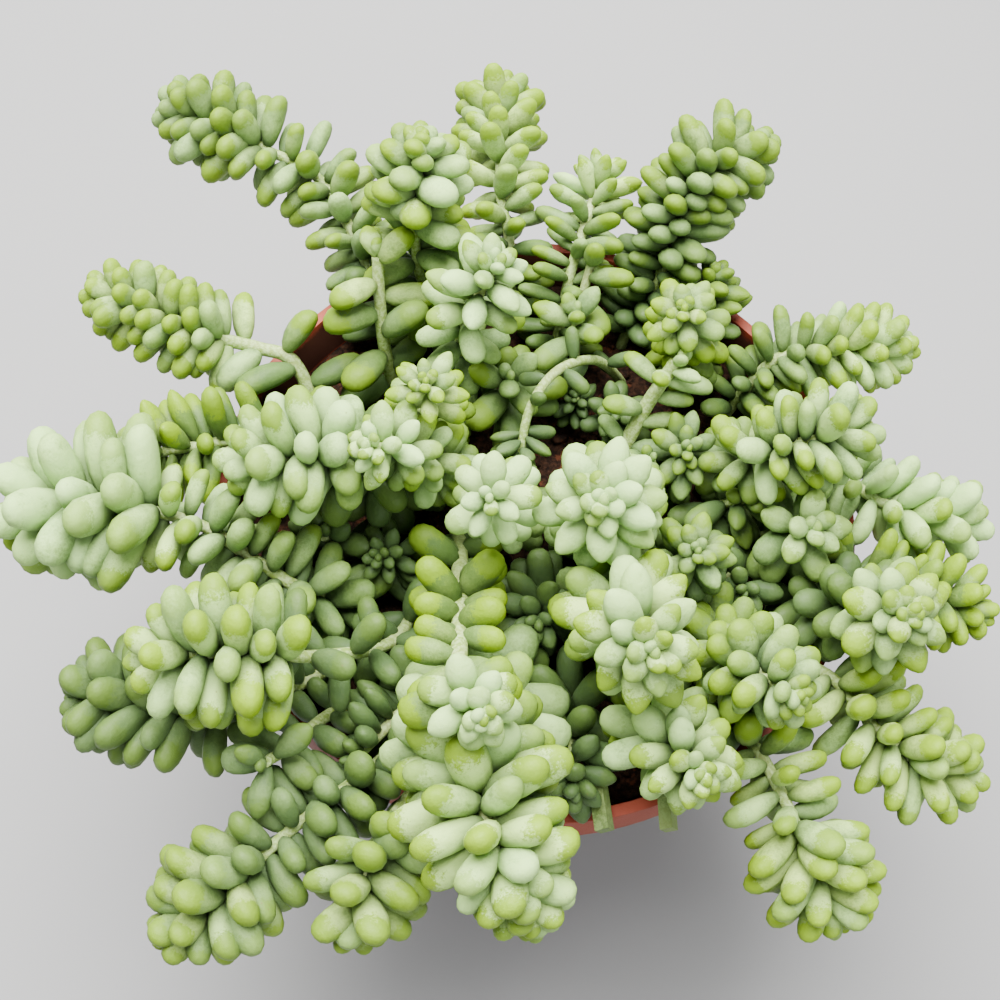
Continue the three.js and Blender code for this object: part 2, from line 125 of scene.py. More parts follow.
# The stems, in the order in which their leaves take their room
STEMS = (
    StemPlan("sprout_front_left", 7.2, 3, (-24, -38), ((-31, -47, 3), (-35, -54, 8)), (-37, -59, 16),
             Tint.DARK, sparse=2.6, pack=0.16, young=0.35, slim=1.1, pairs=True),
    StemPlan("tail_front", 11, 36, (-3, -35),
             ((-5, -45, 13), (-4, -56, 22), (-1, -66, 26), (4, -72, 23)), (7, -76, 18), Tint.PALE,
             lean=84, young=1.8, slim=1.05),
    StemPlan("tail_left", 12, 24, (-32, -23),
             ((-38, -26, 6), (-47, -23, 10), (-57, -19, 13), (-70, -18, 15), (-80, -19, 14)),
             (-87, -20, 10), Tint.BLUE, older=8.5, sparse=0.9, slim=1.05, lean=78, lower_tint=Tint.PALE),
    StemPlan("tail_left_front", 9.6, 22, (-19, -20),
             ((-22, -33, 5), (-32, -41, 17), (-40, -44, 24), (-49, -46, 26)), (-56, -47, 23),
             older=8, sparse=2.6, pack=0.052, slim=1.04, lean=78,
             lower_tint=Tint.DARK),
    StemPlan("tail_left_under", 9, 20, (-28, -29),
             ((-33, -38, 0), (-44, -47, 4), (-56, -50, 5), (-66, -48, 4)), (-72, -49, 2), Tint.DARK,
             pack=0.056, slim=1.08),
    StemPlan("rosette_spiral", 8.5, 11, (12, 0), ((13, -4, 8), (11, -13, 28)), (10, -19, 42),
             Tint.CHALK, slim=1.05, pack=0.06),
    StemPlan("rosette_front", 8.9, 11, (16, -13), ((17, -20, 8), (16, -32, 28)), (19, -42, 43),
             Tint.PALE, slim=1.02, pack=0.066),
    StemPlan("rosette_front_right", 8, 11, (25, -30), ((25, -39, 4), (25, -47, 18)), (29, -55, 28),
             Tint.PALE, slim=1.08, pack=0.07),
    StemPlan("stem_long_middle", 6.2, 7, (-14, -5),
             ((-12, -17, 6), (-10, -31, 18), (-8, -46, 32)), (-4, -55, 43), Tint.MILKY, older=7.6,
             sparse=2.7, pack=0.085, lower_tint=Tint.LIME, slim=1.25, bar=1.8, pairs=True),
    StemPlan("tail_left_inner", 9.2, 20, (-27, 4),
             ((-29, -3, 12), (-36, -8, 24), (-44, -11, 26)), (-49, -11, 24), Tint.BLUE, pack=0.056,
             slim=1.12, lower_tint=Tint.DARK),
    StemPlan("rosette_left_inner", 6.2, 7, (-18, 7), ((-18, -2, 14), (-22, -7, 27)), (-27, -12, 37),
             Tint.MILKY, slim=1.1, pack=0.09, lower_tint=Tint.SILVER),
    StemPlan("rosette_pale", 6, 6, (-21, 18), ((-21, 9, 12), (-20, 3, 26)), (-20, 0, 38), Tint.SUNNY,
             sparse=2, pack=0.09),
    StemPlan("stem_back_left", 9, 1, (-31, 24), ((-33, 27, 6), (-34, 31, 14)), (-35, 36, 21),
             Tint.GREEN, slim=1.3, sparse=3.9, pack=0.15, young=0.5, bar=1.5, pairs=True),
    StemPlan("rosette_blue", 8, 9, (-14, 28), ((-18, 25, 8), (-16, 24, 24)), (-12, 25, 37),
             Tint.BLUE, older=8, slim=1.04, sparse=1.7, pack=0.085),
    StemPlan("head_back_left", 9.2, 16, (-22, 38), ((-27, 40, 6), (-29, 43, 20)), (-28, 49, 37),
             pack=0.066, slim=1.12),
    StemPlan("tail_back_left", 8.9, 20, (-31, 36),
             ((-40, 46, 6), (-51, 60, 11), (-63, 64, 14), (-74, 68, 15)), (-82, 72, 14), Tint.DEEP,
             older=8, sparse=1.05, pack=0.05, slim=1.08),
    StemPlan("tail_left_back", 7.6, 27, (-44, 15),
             ((-50, 22, 3), (-57, 23, 5), (-69, 23, 8), (-80, 26, 10)), (-88, 28, 9), Tint.GREEN, older=10,
             sparse=3.0, pack=0.056, slim=1.12, bar=1.5, pairs=True, lower_tint=Tint.FROST),
    StemPlan("tail_back", 8, 18, (-10, 46),
             ((-12, 56, 4), (-15, 65, 7), (-17, 79, 8)), (-19, 94, 5), Tint.GREEN, slim=0.98, pack=0.06),
    StemPlan("tail_back_right", 8.8, 27, (14, 44),
             ((20, 54, 7), (21, 60, 16), (26, 66, 23)), (34, 71, 22), Tint.DEEP, older=8,
             sparse=0.6, slim=1.0),
    StemPlan("bunch_back_right", 8, 12, (30, 43), ((28, 47, 4),), (29, 50, 9), Tint.GREEN,
             pack=0.07),
    StemPlan("stem_back_middle", 8, 10, (0, 37), ((1, 48, 5), (3, 60, 9)), (5, 72, 9), Tint.FROST,
             slim=0.85, pack=0.065),
    StemPlan("rosette_back_right", 6.5, 8, (26, 37), ((25, 34, 8),), (22, 28, 27), Tint.GREEN,
             pack=0.09, slim=1.1),
    StemPlan("stem_sparse", 7.6, 5, (14, 9), ((15, 11, 4), (18, 17, 11)), (22, 22, 20), Tint.FROST,
             sparse=4.0, pack=0.12, bar=1.8, pairs=True),
    StemPlan("tail_right_back", 7.5, 19, (36, 29),
             ((42, 34, 5), (49, 36, 8), (58, 37, 9)), (66, 39, 7), Tint.FROST, slim=1.0, pack=0.06,
             sparse=0.9, lean=64),
    StemPlan("tail_right", 8.2, 17, (37, 16), ((36, 9, 9), (38, 4, 22), (45, 4, 29)), (52, 7, 28),
             pack=0.052, lean=66, sparse=1.3, older=7),
    StemPlan("cluster_right", 7, 8, (26, 14), ((26, 12, 2),), (26, 8, 13), pack=0.085),
    StemPlan("stem_curved_leaves", 8.5, 6, (33, 5), ((34, 3, 2),), (38, 1, 11), Tint.MOSS, pack=0.1),
    StemPlan("rosette_right", 8, 6, (42, 1), ((44, -3, 6),), (47, -8, 20), Tint.CHALK, slim=1.15, pack=0.1,
             lower_tint=Tint.DEEP),
    StemPlan("tail_right_thick", 8.2, 16, (46, 13),
             ((55, 11, 4), (63, 6, 6), (71, 4, 6)), (79, 6, 3), Tint.MILKY, slim=1.02, pack=0.062,
             sparse=0.9, lean=66),
    StemPlan("head_right", 8, 12, (45, -9), ((52, -15, 5), (58, -21, 17)), (61, -25, 28),
             slim=1.15, pack=0.066, lower_tint=Tint.DARK),
    StemPlan("tail_right_slim", 7.5, 16, (49, -2),
             ((58, -8, 5), (66, -11, 6), (74, -12, 6)), (80, -13, 4), Tint.LIME, slim=0.95, pack=0.06),
    StemPlan("head_right_inner", 7.5, 13, (33, -17), ((34, -26, 8), (38, -35, 21)), (43, -40, 26),
             pack=0.062, slim=1.08),
    StemPlan("tail_right_front", 8.3, 16, (43, -21),
             ((54, -28, 4), (62, -36, 4), (70, -41, 3)), (78, -41, 0), Tint.SUNNY, pack=0.055,
             sparse=0.8),
    StemPlan("tail_front_right", 9.2, 17, (35, -32),
             ((42, -42, 3), (47, -51, 5), (52, -59, 2)), (58, -66, -4), Tint.GREEN, pack=0.055,
             sparse=0.95, older=8.5),
    StemPlan("tail_front_left", 9, 16, (-15, -43),
             ((-22, -56, 6), (-32, -67, 8), (-40, -77, 7)), (-47, -84, 4), Tint.MOSS, pack=0.06,
             slim=1.15, sparse=1.0, older=8, lower_tint=Tint.DARK),
    StemPlan("tail_front_left_inner", 9, 17, (-7, -46),
             ((-13, -56, 4), (-17, -65, 9), (-19, -74, 11)), (-19, -80, 7), Tint.MOSS, pack=0.065,
             slim=1.15),
    StemPlan("stem_front_dark", 8, 12, (-16, -33), ((-18, -44, 4),), (-24, -54, 7), Tint.DARK,
             pack=0.08),
    StemPlan("rosette_small_right", 5.8, 7, (28, -6), ((28, -12, 6),), (27, -18, 26), Tint.DEEP, slim=1.1,
             pack=0.09, lower_tint=Tint.DARK),
    StemPlan("rosette_white", 6.8, 4, (-5, 0), ((-5, -6, 8), (-6, -13, 25)), (-7, -20, 40), Tint.CHALK,
             slim=1.12, sparse=2.2, pack=0.115),
    StemPlan("stem_arching", 5.5, 5, (14, 33), ((8, 29, 6), (1, 20, 15), (-3, 10, 18)), (-4, 2, 13),
             Tint.DARK, sparse=9.0, pack=0.085, bar=1.1),
    StemPlan("tail_left_yellow", 8.5, 12, (-41, 6),
             ((-48, 8, 2), (-56, 3, 5), (-64, -1, 7)), (-73, -3, 5), Tint.LIME, pack=0.07),
    StemPlan("shoot_back", 10, 3, (4, 42), ((4, 44, 3),), (5, 49, 10), Tint.GREEN, pack=0.12),
    StemPlan("shoot_back_inner", 9.5, 3, (4, 32), ((4, 33, 1),), (3, 35, 11), Tint.PALE, pack=0.12),
    StemPlan("shoot_left", 8, 10, (-34, -12), ((-35, -13, 0),), (-37, -15, 6), Tint.DARK, pack=0.07),
    StemPlan("shoot_middle", 6, 8, (-24, -12), ((-24, -14, 0),), (-26, -18, 7), Tint.DARK, pack=0.08),
    StemPlan("shoot_front", 8, 8, (4, -18), ((4, -21, 2),), (3, -27, 9), Tint.DARK, pack=0.085),
    StemPlan("shoot_front_low", 9, 12, (10, -33), ((11, -39, 1), (11, -47, 4)), (12, -54, 8), Tint.DARK,
             pack=0.085),
    StemPlan("shoot_right", 7.5, 8, (37, -9), ((38, -10, 1),), (38, -16, 8), Tint.DARK, pack=0.085),
    StemPlan("shoot_blue_low", 9.5, 3, (-8, 21), ((-8, 21, 1),), (-8, 19, 11), pack=0.12),
    StemPlan("shoot_back_small", 4.5, 5, (6, 24), ((6, 24, -4),), (5, 23, 1), Tint.DARK, pack=0.09),
    StemPlan("shoot_inner_low", 6.5, 4, (13, 21.5), ((13, 21.5, -3),), (13, 20, 3), Tint.DARK, pack=0.09),
    StemPlan("shoot_inner_right", 8, 3, (20, 8), ((20, 8, 1),), (20, 7, 9), pack=0.12),
)

# Stubs of cut tails, with no leaves
STUBS = (
    StemPlan("stub_front", 0, 0, (13, -41), ((15.5, -50, 3),), (18, -60, 4), bar=1.75),
    StemPlan("stub_front_right", 0, 0, (25, -41), ((27, -49, 3),), (28.5, -58.5, 4), bar=1.6),
)


# Shader graphs written as expressions


@dataclass(frozen=True)
class Wire:
    """A number that runs between shader nodes, with the usual arithmetic."""

    graph: "Graph"
    socket: Any

    def _math(self, operation: str, first: Any, second: Any = 0.0) -> "Wire":
        """Adds one Math node.

        Args:
            operation: the Math node's operation.
            first: its first value, a wire or a number.
            second: its second value, a wire or a number.

        Returns:
            The node's result.
        """
        return self.graph.node("ShaderNodeMath", {"operation": operation}, {0: first, 1: second})

    def __add__(self, other: Any) -> "Wire":
        """Sum."""
        return self._math("ADD", self, other)

    __radd__ = __add__

    def __sub__(self, other: Any) -> "Wire":
        """Difference."""
        return self._math("SUBTRACT", self, other)

    def __rsub__(self, other: Any) -> "Wire":
        """Difference with the number first."""
        return self._math("SUBTRACT", other, self)

    def __mul__(self, other: Any) -> "Wire":
        """Product."""
        return self._math("MULTIPLY", self, other)

    __rmul__ = __mul__

    def __truediv__(self, other: Any) -> "Wire":
        """Quotient."""
        return self._math("DIVIDE", self, other)

    def __pow__(self, other: Any) -> "Wire":
        """Power."""
        return self._math("POWER", self, other)

    def band(self, low: float, high: float) -> "Wire":
        """Smooth step from 0 at low to 1 at high.

        Args:
            low: where the step starts.
            high: where it ends.

        Returns:
            The stepped value.
        """
        settings = {"interpolation_type": "SMOOTHSTEP"}
        return self.graph.node("ShaderNodeMapRange", settings, {0: self, 1: low, 2: high, 3: 0.0, 4: 1.0})


class Graph:
    """One material's node tree, with a Principled shader that feeds its output."""

    mix_colours: tuple[int, int] = (6, 7)
    mix_result: int = 2

    def __init__(self, name: str) -> None:
        """Makes the material.

        Args:
            name: the material's name.
        """
        self.material = bpy.data.materials.new(name)
        self.material.use_nodes = True
        self.tree = self.material.node_tree
        self.shader = self.tree.nodes["Principled BSDF"]

    def node(self, kind: str, settings: dict[str, Any], values: dict[Any, Any], output: Any = 0) -> Wire:
        """Adds a node.

        Args:
            kind: the node's type.
            settings: its settings, set first.
            values: what goes into its sockets, by index or name: wires or plain values.
            output: the index or name of the output to return.

        Returns:
            The chosen output.
        """
        made = self.tree.nodes.new(kind)
        for key, value in settings.items():
            setattr(made, key, value)
        for key, value in values.items():
            self._feed(made.inputs[key], value)
        return Wire(self, made.outputs[output])

    def _feed(self, socket: Any, value: Any) -> None:
        """Links a wire into a socket, or sets a plain value there.

        Args:
            socket: the socket.
            value: a wire, or a plain value.
        """
        if isinstance(value, Wire):
            self.tree.links.new(value.socket, socket)
        elif isinstance(value, tuple) and socket.type == "RGBA":
            socket.default_value = (*value[:3], 1.0)
        else:
            socket.default_value = value

    def mix(self, share: Any, first: Any, second: Any) -> Wire:
        """Mixes two colours.

        Args:
            share: the share of the second colour.
            first: a colour or a wire.
            second: a colour or a wire.

        Returns:
            The mixed colour.
        """
        values = {"Factor": share, self.mix_colours[0]: first, self.mix_colours[1]: second}
        return self.node("ShaderNodeMix", {"data_type": "RGBA"}, values, self.mix_result)

    def place(self) -> Wire:
        """The point's place on the object, in metres."""
        return self.node("ShaderNodeTexCoord", {}, {}, "Object")

    def axes(self) -> tuple[Wire, Wire, Wire]:
        """The point's place on the object, axis by axis.

        Returns:
            Its X, Y and Z, in metres.
        """
        first = self.node("ShaderNodeSeparateXYZ", {}, {"Vector": self.place()})
        outputs = first.socket.node.outputs
        return first, Wire(self, outputs[1]), Wire(self, outputs[2])

    def noise(self, size: float, detail: float = 3.0, rough: float = 0.55) -> Wire:
        """Smooth noise of a given grain.

        Args:
            size: the grain's size in millimetres.
            detail: how many finer layers it has.
            rough: how strong they are.

        Returns:
            The noise, about 0 to 1.
        """
        values = {"Vector": self.place(), "Scale": 1 / (size * MM), "Detail": detail, "Roughness": rough}
        return self.node("ShaderNodeTexNoise", {}, values, "Fac")

    def cells(self, size: float) -> Wire:
        """Distance to the nearest of scattered points.

        Args:
            size: the points' spacing in millimetres.

        Returns:
            The distance, as a share of the spacing.
        """
        values = {"Vector": self.place(), "Scale": 1 / (size * MM)}
        return self.node("ShaderNodeTexVoronoi", {}, values, "Distance")

    def finish(self, colour: Any, roughness: Any, relief: Any, depth: float) -> bpy.types.Material:
        """Feeds the shader.

        Args:
            colour: the base colour.
            roughness: the roughness.
            relief: a height from 0 to 1 for the bump.
            depth: the bump's depth in millimetres.

        Returns:
            The finished material.
        """
        self._feed(self.shader.inputs["Base Color"], colour)
        self._feed(self.shader.inputs["Roughness"], roughness)
        bump = self.node("ShaderNodeBump", {}, {"Height": relief, "Distance": depth * MM, "Strength": 1.0},
                         "Normal")
        self._feed(self.shader.inputs["Normal"], bump)
        return self.material


# Finishes


@dataclass(frozen=True)
class LeafFinish:
    """Succulent leaf skin: green under a bloom of pale wax that wears off towards the tip, with painted
    shade in crevices and on leaves that stand in shade.

    Sizes, spacings and depths are in millimetres, a span is where a smooth step starts and ends, and
    the other numbers are shares.
    """

    green: Point = (0.068, 0.132, 0.028)
    lime: Point = (0.165, 0.275, 0.0)
    cool_wax: Point = (0.350, 0.545, 0.190)
    warm_wax: Point = (0.450, 0.590, 0.130)
    # Dark green of painted shade, for crevices and for leaves that stand in shade
    shade: Point = (0.046, 0.082, 0.029)
    speck: Point = (0.12, 0.08, 0.03)
    patch_size: float = 3.4
    patch_weight: float = 0.9
    flake_size: float = 0.45
    flake_weight: float = 0.8
    tip_span: Span = (0.50, 0.64)
    tip_ragged: float = 0.6
    tip_waxed: float = 0.22
    lime_patches: float = 0.35
    lime_tip: float = 1.1
    bare_gain: float = 2.0
    bare_loss: float = 0.3
    bare_most: float = 0.94
    wax_gain: float = 1.15
    wax_ragged: float = 1.6
    wax_loss: float = 0.12
    wax_full: float = 0.9
    wax_cover: float = 0.94
    warm_gain: float = 0.6
    warm_loss: float = 0.08
    shade_curve: float = 1.15
    shade_cover: float = 0.94
    speck_spacing: float = 1.9
    speck_span: Span = (0.05, 0.11)
    speck_field: float = 3.1
    speck_field_span: Span = (0.55, 0.62)
    speck_cover: float = 0.5
    roughness: float = 0.42
    roughness_wax: float = 0.25
    roughness_flakes: float = 0.06
    gloss: float = 0.16
    glow: float = 0.08
    glow_reach: Point = (1.0, 1.0, 0.35)
    glow_depth: float = 1.2
    relief_flakes: float = 0.25
    relief_patches: float = 0.75
    relief_depth: float = 0.4

    def material(self) -> bpy.types.Material:
        """Builds the material.

        Returns:
            The leaf material, which reads the leaves' colour attribute.
        """
        graph = Graph("leaf_skin")
        marks = graph.node("ShaderNodeAttribute", {"attribute_name": "leaf"}, {}, "Color")
        along = graph.node("ShaderNodeSeparateColor", {}, {"Color": marks}, 0)
        yellow = Wire(graph, along.socket.node.outputs[1])
        waxed = Wire(graph, along.socket.node.outputs[2])
        # The attribute's alpha holds painted shade, from crevices between leaves and from leaves standing in
        # shade
        crevice_shade_share = Wire(graph, marks.socket.node.outputs["Alpha"])
        broad = graph.noise(self.patch_size, detail=2.0)
        fine = graph.noise(self.flake_size, detail=3.0, rough=0.75)
        flakes = (broad - 0.5) * self.patch_weight + (fine - 0.5) * self.flake_weight
        tip = (along + flakes * self.tip_ragged - waxed * self.tip_waxed).band(*self.tip_span)
        limed = yellow * (broad * self.lime_patches + tip * self.lime_tip)
        skin = graph.mix(limed, self.green, self.lime)
        bare = tip * (yellow * self.bare_gain - self.bare_loss).band(0.0, 1.0)
        wax = waxed * (self.wax_gain + flakes * self.wax_ragged) - self.wax_loss
        wax = wax.band(0.0, self.wax_full) * (1 - bare * self.bare_most)
        bloom = graph.mix(yellow * self.warm_gain - self.warm_loss, self.cool_wax, self.warm_wax)
        skin = graph.mix(wax * self.wax_cover, skin, bloom)
        # Painted shade: darkens the skin towards the shade colour
        skin = graph.mix(crevice_shade_share ** self.shade_curve * self.shade_cover, skin, self.shade)
        dots = 1 - graph.cells(self.speck_spacing).band(*self.speck_span)
        dots = dots * graph.noise(self.speck_field).band(*self.speck_field_span)
        skin = graph.mix(dots * self.speck_cover, skin, self.speck)
        roughness = self.roughness + wax * self.roughness_wax + fine * self.roughness_flakes
        relief = fine * self.relief_flakes + broad * self.relief_patches
        shader = graph.shader.inputs
        shader["Subsurface Weight"].default_value = self.glow
        shader["Subsurface Radius"].default_value = self.glow_reach
        shader["Subsurface Scale"].default_value = self.glow_depth * MM
        shader["Specular IOR Level"].default_value = self.gloss
        return graph.finish(skin, roughness, relief, self.relief_depth)


@dataclass(frozen=True)
class StemFinish:
    """Bare stem skin: pale green to fawn under a broken coat of wax, with painted shade low down between the
    leaves.

    shade_span says over which heights the painted shade fades out, in millimetres above the pot's rim.
    """

    name: str = "stem_skin"
    green: Point = (0.18, 0.27, 0.04)
    fawn: Point = (0.26, 0.30, 0.10)
    wax: Point = (0.37, 0.49, 0.20)
    shade: Point = (0.060, 0.100, 0.028)
    patch_size: float = 9.0
    patch_span: Span = (0.42, 0.75)
    flake_size: float = 0.7
    wax_span: Span = (0.42, 0.6)
    wax_cover: float = 0.75
    shade_span: Span = (-16.0, 8.0)
    shade_cover: float = 0.6
    roughness: float = 0.55
    roughness_wax: float = 0.2
    relief_depth: float = 0.18

    def material(self, rim: float) -> bpy.types.Material:
        """Builds the stem material.

        Args:
            rim: the height of the pot's rim, in millimetres.

        Returns:
            The stem material.
        """
        graph = Graph(self.name)
        broad = graph.noise(self.patch_size, detail=2.0)
        fine = graph.noise(self.flake_size, detail=4.0, rough=0.7)
        skin = graph.mix(broad.band(*self.patch_span), self.green, self.fawn)
        coat = fine.band(*self.wax_span)
        skin = graph.mix(coat * self.wax_cover, skin, self.wax)
        # Painted shade: darker and greener low in the pot, where the leaves shade the stems
        lowest, highest = ((rim + height) * MM for height in self.shade_span)
        low = 1 - graph.axes()[2].band(lowest, highest)
        skin = graph.mix(low * self.shade_cover, skin, self.shade)
        return graph.finish(skin, self.roughness + coat * self.roughness_wax, fine, self.relief_depth)


@dataclass(frozen=True)
class PlasticFinish:
    """Moulded terracotta-coloured plastic, lightly dusty and scuffed, with soil stains and painted shade on
    the wall's inside.

    The stain's depth and ragged fields say how far below the rim's edge the stains and painted shade start,
    in millimetres.
    """

    body: Point = (0.202, 0.033, 0.015)
    faded: Point = (0.232, 0.047, 0.023)
    dust: Point = (0.21, 0.075, 0.045)
    soil_stain_and_shade: Point = (0.045, 0.016, 0.009)
    fade_size: float = 22.0
    fade_span: Span = (0.35, 0.7)
    fade_cover: float = 0.5
    grain_size: float = 0.35
    scuff_size: float = 1.6
    scuff_span: Span = (0.60, 0.72)
    scuff_cover: float = 0.35
    stain_and_shade_size: float = 3.0
    stain_and_shade_depth: Span = (0.4, 2.4)
    stain_and_shade_ragged: float = 5.0
    stain_and_shade_cover: float = 0.93
    stain_and_shade_edge: float = 0.3
    stain_and_shade_foot: Span = (0.1, 0.6)
    roughness: float = 0.46
    roughness_faded: float = 0.12
    roughness_scuffs: float = 0.2
    roughness_stains: float = 0.3
    gloss: float = 0.19
    relief_depth: float = 0.04

    def material(self, brim: float, height: float, band: float) -> bpy.types.Material:
        """Builds the pot's material.

        Args:
            brim: the radius inside which the wall carries soil stains and painted shade, in millimetres.
            height: the pot's height.
            band: the height of the rim band, which alone shows the wall's inside.

        Returns:
            The plastic.
        """
        graph = Graph("terracotta_plastic")
        broad = graph.noise(self.fade_size, detail=3.0)
        fine = graph.noise(self.grain_size, detail=3.0, rough=0.6)
        patches = graph.noise(self.stain_and_shade_size, detail=4.0, rough=0.65)
        scuffs = graph.noise(self.scuff_size, detail=5.0, rough=0.75).band(*self.scuff_span)
        colour = graph.mix(broad.band(*self.fade_span) * self.fade_cover, self.body, self.faded)
        colour = graph.mix(scuffs * self.scuff_cover, colour, self.dust)
        across, along, up = graph.axes()
        # Soil stains and painted shade on the wall's inside, from below the rim's edge down to the band's
        # foot
        inside = brim * MM - (across * across + along * along) ** 0.5
        below = height * MM - up + (patches - 0.5) * self.stain_and_shade_ragged * MM
        above = up - (height - band) * MM
        stain_and_shade_mask = inside.band(0.0, self.stain_and_shade_edge * MM)
        stain_and_shade_mask = stain_and_shade_mask * below.band(*(depth * MM for depth in self.stain_and_shade_depth))
        stain_and_shade_mask = stain_and_shade_mask * above.band(*(rise * MM for rise in self.stain_and_shade_foot))
        colour = graph.mix(stain_and_shade_mask * self.stain_and_shade_cover, colour, self.soil_stain_and_shade)
        roughness = (self.roughness + broad * self.roughness_faded + scuffs * self.roughness_scuffs
                     + stain_and_shade_mask * self.roughness_stains)
        graph.shader.inputs["Specular IOR Level"].default_value = self.gloss
        return graph.finish(colour, roughness, fine, self.relief_depth)


@dataclass(frozen=True)
class SoilFinish:
    """Moist peat and coir: near-black crumbs with reddish fibre."""

    dark: Point = (0.009, 0.005, 0.0035)
    brown: Point = (0.048, 0.022, 0.012)
    rust: Point = (0.105, 0.034, 0.015)
    grain_size: float = 1.1
    grain_span: Span = (0.38, 0.66)
    lump_spacing: float = 2.4
    fibre_size: float = 2.7
    fibre_span: Span = (0.6, 0.68)
    fibre_cover: float = 0.8
    roughness: float = 0.82
    roughness_grain: float = 0.15
    gloss: float = 0.1
    relief_grain: float = 0.7
    relief_lumps: float = 0.3
    relief_depth: float = 0.9

    def material(self) -> bpy.types.Material:
        """Builds the soil material.

        Returns:
            The soil.
        """
        graph = Graph("peat_soil")
        grain = graph.noise(self.grain_size, detail=6.0, rough=0.7)
        lumps = graph.cells(self.lump_spacing)
        colour = graph.mix(grain.band(*self.grain_span), self.dark, self.brown)
        fibre = graph.noise(self.fibre_size, detail=4.0).band(*self.fibre_span)
        colour = graph.mix(fibre * self.fibre_cover, colour, self.rust)
        graph.shader.inputs["Specular IOR Level"].default_value = self.gloss
        relief = grain * self.relief_grain + lumps * self.relief_lumps
        return graph.finish(colour, self.roughness + grain * self.roughness_grain, relief, self.relief_depth)


@dataclass(frozen=True)
class BarkFinish:
    """Dry bark: tan wood with darker grain."""

    tan: Point = (0.50, 0.27, 0.11)
    dark: Point = (0.22, 0.10, 0.04)
    grain_size: float = 0.9
    grain_span: Span = (0.4, 0.65)
    roughness: float = 0.75
    roughness_grain: float = 0.1
    relief_depth: float = 0.3

    def material(self) -> bpy.types.Material:
        """Builds the bark material.

        Returns:
            The bark.
        """
        graph = Graph("dry_bark")
        grain = graph.noise(self.grain_size, detail=5.0, rough=0.7)
        colour = graph.mix(grain.band(*self.grain_span), self.tan, self.dark)
        return graph.finish(colour, self.roughness + grain * self.roughness_grain, grain, self.relief_depth)


@dataclass(frozen=True)
class FloorFinish:
    """Plain pale grey ground."""

    grey: Point = (0.243, 0.243, 0.245)
    lighter: float = 1.06
    cloud_size: float = 260.0
    roughness: float = 0.85
    relief_depth: float = 0.01

    def material(self) -> bpy.types.Material:
        """Builds the floor's material.

        Returns:
            The ground.
        """
        graph = Graph("pale_floor")
        cloud = graph.noise(self.cloud_size, detail=2.0)
        pale = tuple(value * self.lighter for value in self.grey)
        return graph.finish(graph.mix(cloud, self.grey, pale), self.roughness, cloud, self.relief_depth)


# Helpers for modelling


def select_only(*objects: bpy.types.Object) -> None:
    """Selects these objects alone and makes the first one active.

    Args:
        objects: the objects to select.
    """
    bpy.ops.object.select_all(action="DESELECT")
    for thing in objects:
        thing.select_set(True)
    bpy.context.view_layer.objects.active = objects[0]


def settle(piece: bpy.types.Object, name: str) -> bpy.types.Object:
    """Names a piece and puts its place into its mesh.

    Args:
        piece: the piece.
        name: its name.

    Returns:
        The piece.
    """
    select_only(piece)
    bpy.ops.object.transform_apply(location=True, rotation=True, scale=True)
    piece.name = name
    piece.data.name = name
    return piece


def deselect_mesh(mesh: bpy.types.Mesh) -> None:
    """Deselects all vertices, edges and faces of a mesh, in object mode.

    Args:
        mesh: the mesh.
    """
    for group in (mesh.vertices, mesh.edges, mesh.polygons):
        group.foreach_set("select", [False] * len(group))


def dress(piece: bpy.types.Object, material: bpy.types.Material) -> None:
    """Gives a piece one material.

    Args:
        piece: the piece.
        material: its material.
    """
    piece.data.materials.clear()
    piece.data.materials.append(material)


def clouds(name: str, size: float, depth: int = 2) -> bpy.types.Texture:
    """Makes a cloud texture for displacement.

    Args:
        name: its name.
        size: the size of its clouds, in metres.
        depth: how many finer layers it has.

    Returns:
        The texture.
    """
    texture = bpy.data.textures.new(name, "CLOUDS")
    texture.noise_scale = size
    texture.noise_depth = depth
    return texture


def join(pieces: Sequence[bpy.types.Object]) -> bpy.types.Object:
    """Joins objects into the first one.

    Args:
        pieces: the objects.

    Returns:
        The joined object.
    """
    select_only(*pieces)
    if len(pieces) > 1:
        bpy.ops.object.join()
    return bpy.context.view_layer.objects.active


def report(piece: bpy.types.Object, nodes: Sequence[str] = ()) -> None:
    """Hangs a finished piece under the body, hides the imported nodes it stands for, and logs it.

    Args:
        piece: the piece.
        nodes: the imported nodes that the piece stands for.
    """
    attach(piece, BODY)
    if nodes:
        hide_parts(*nodes)
    LOG.info("%s: %d faces", piece.name, len(piece.data.polygons))


# Room between the stems


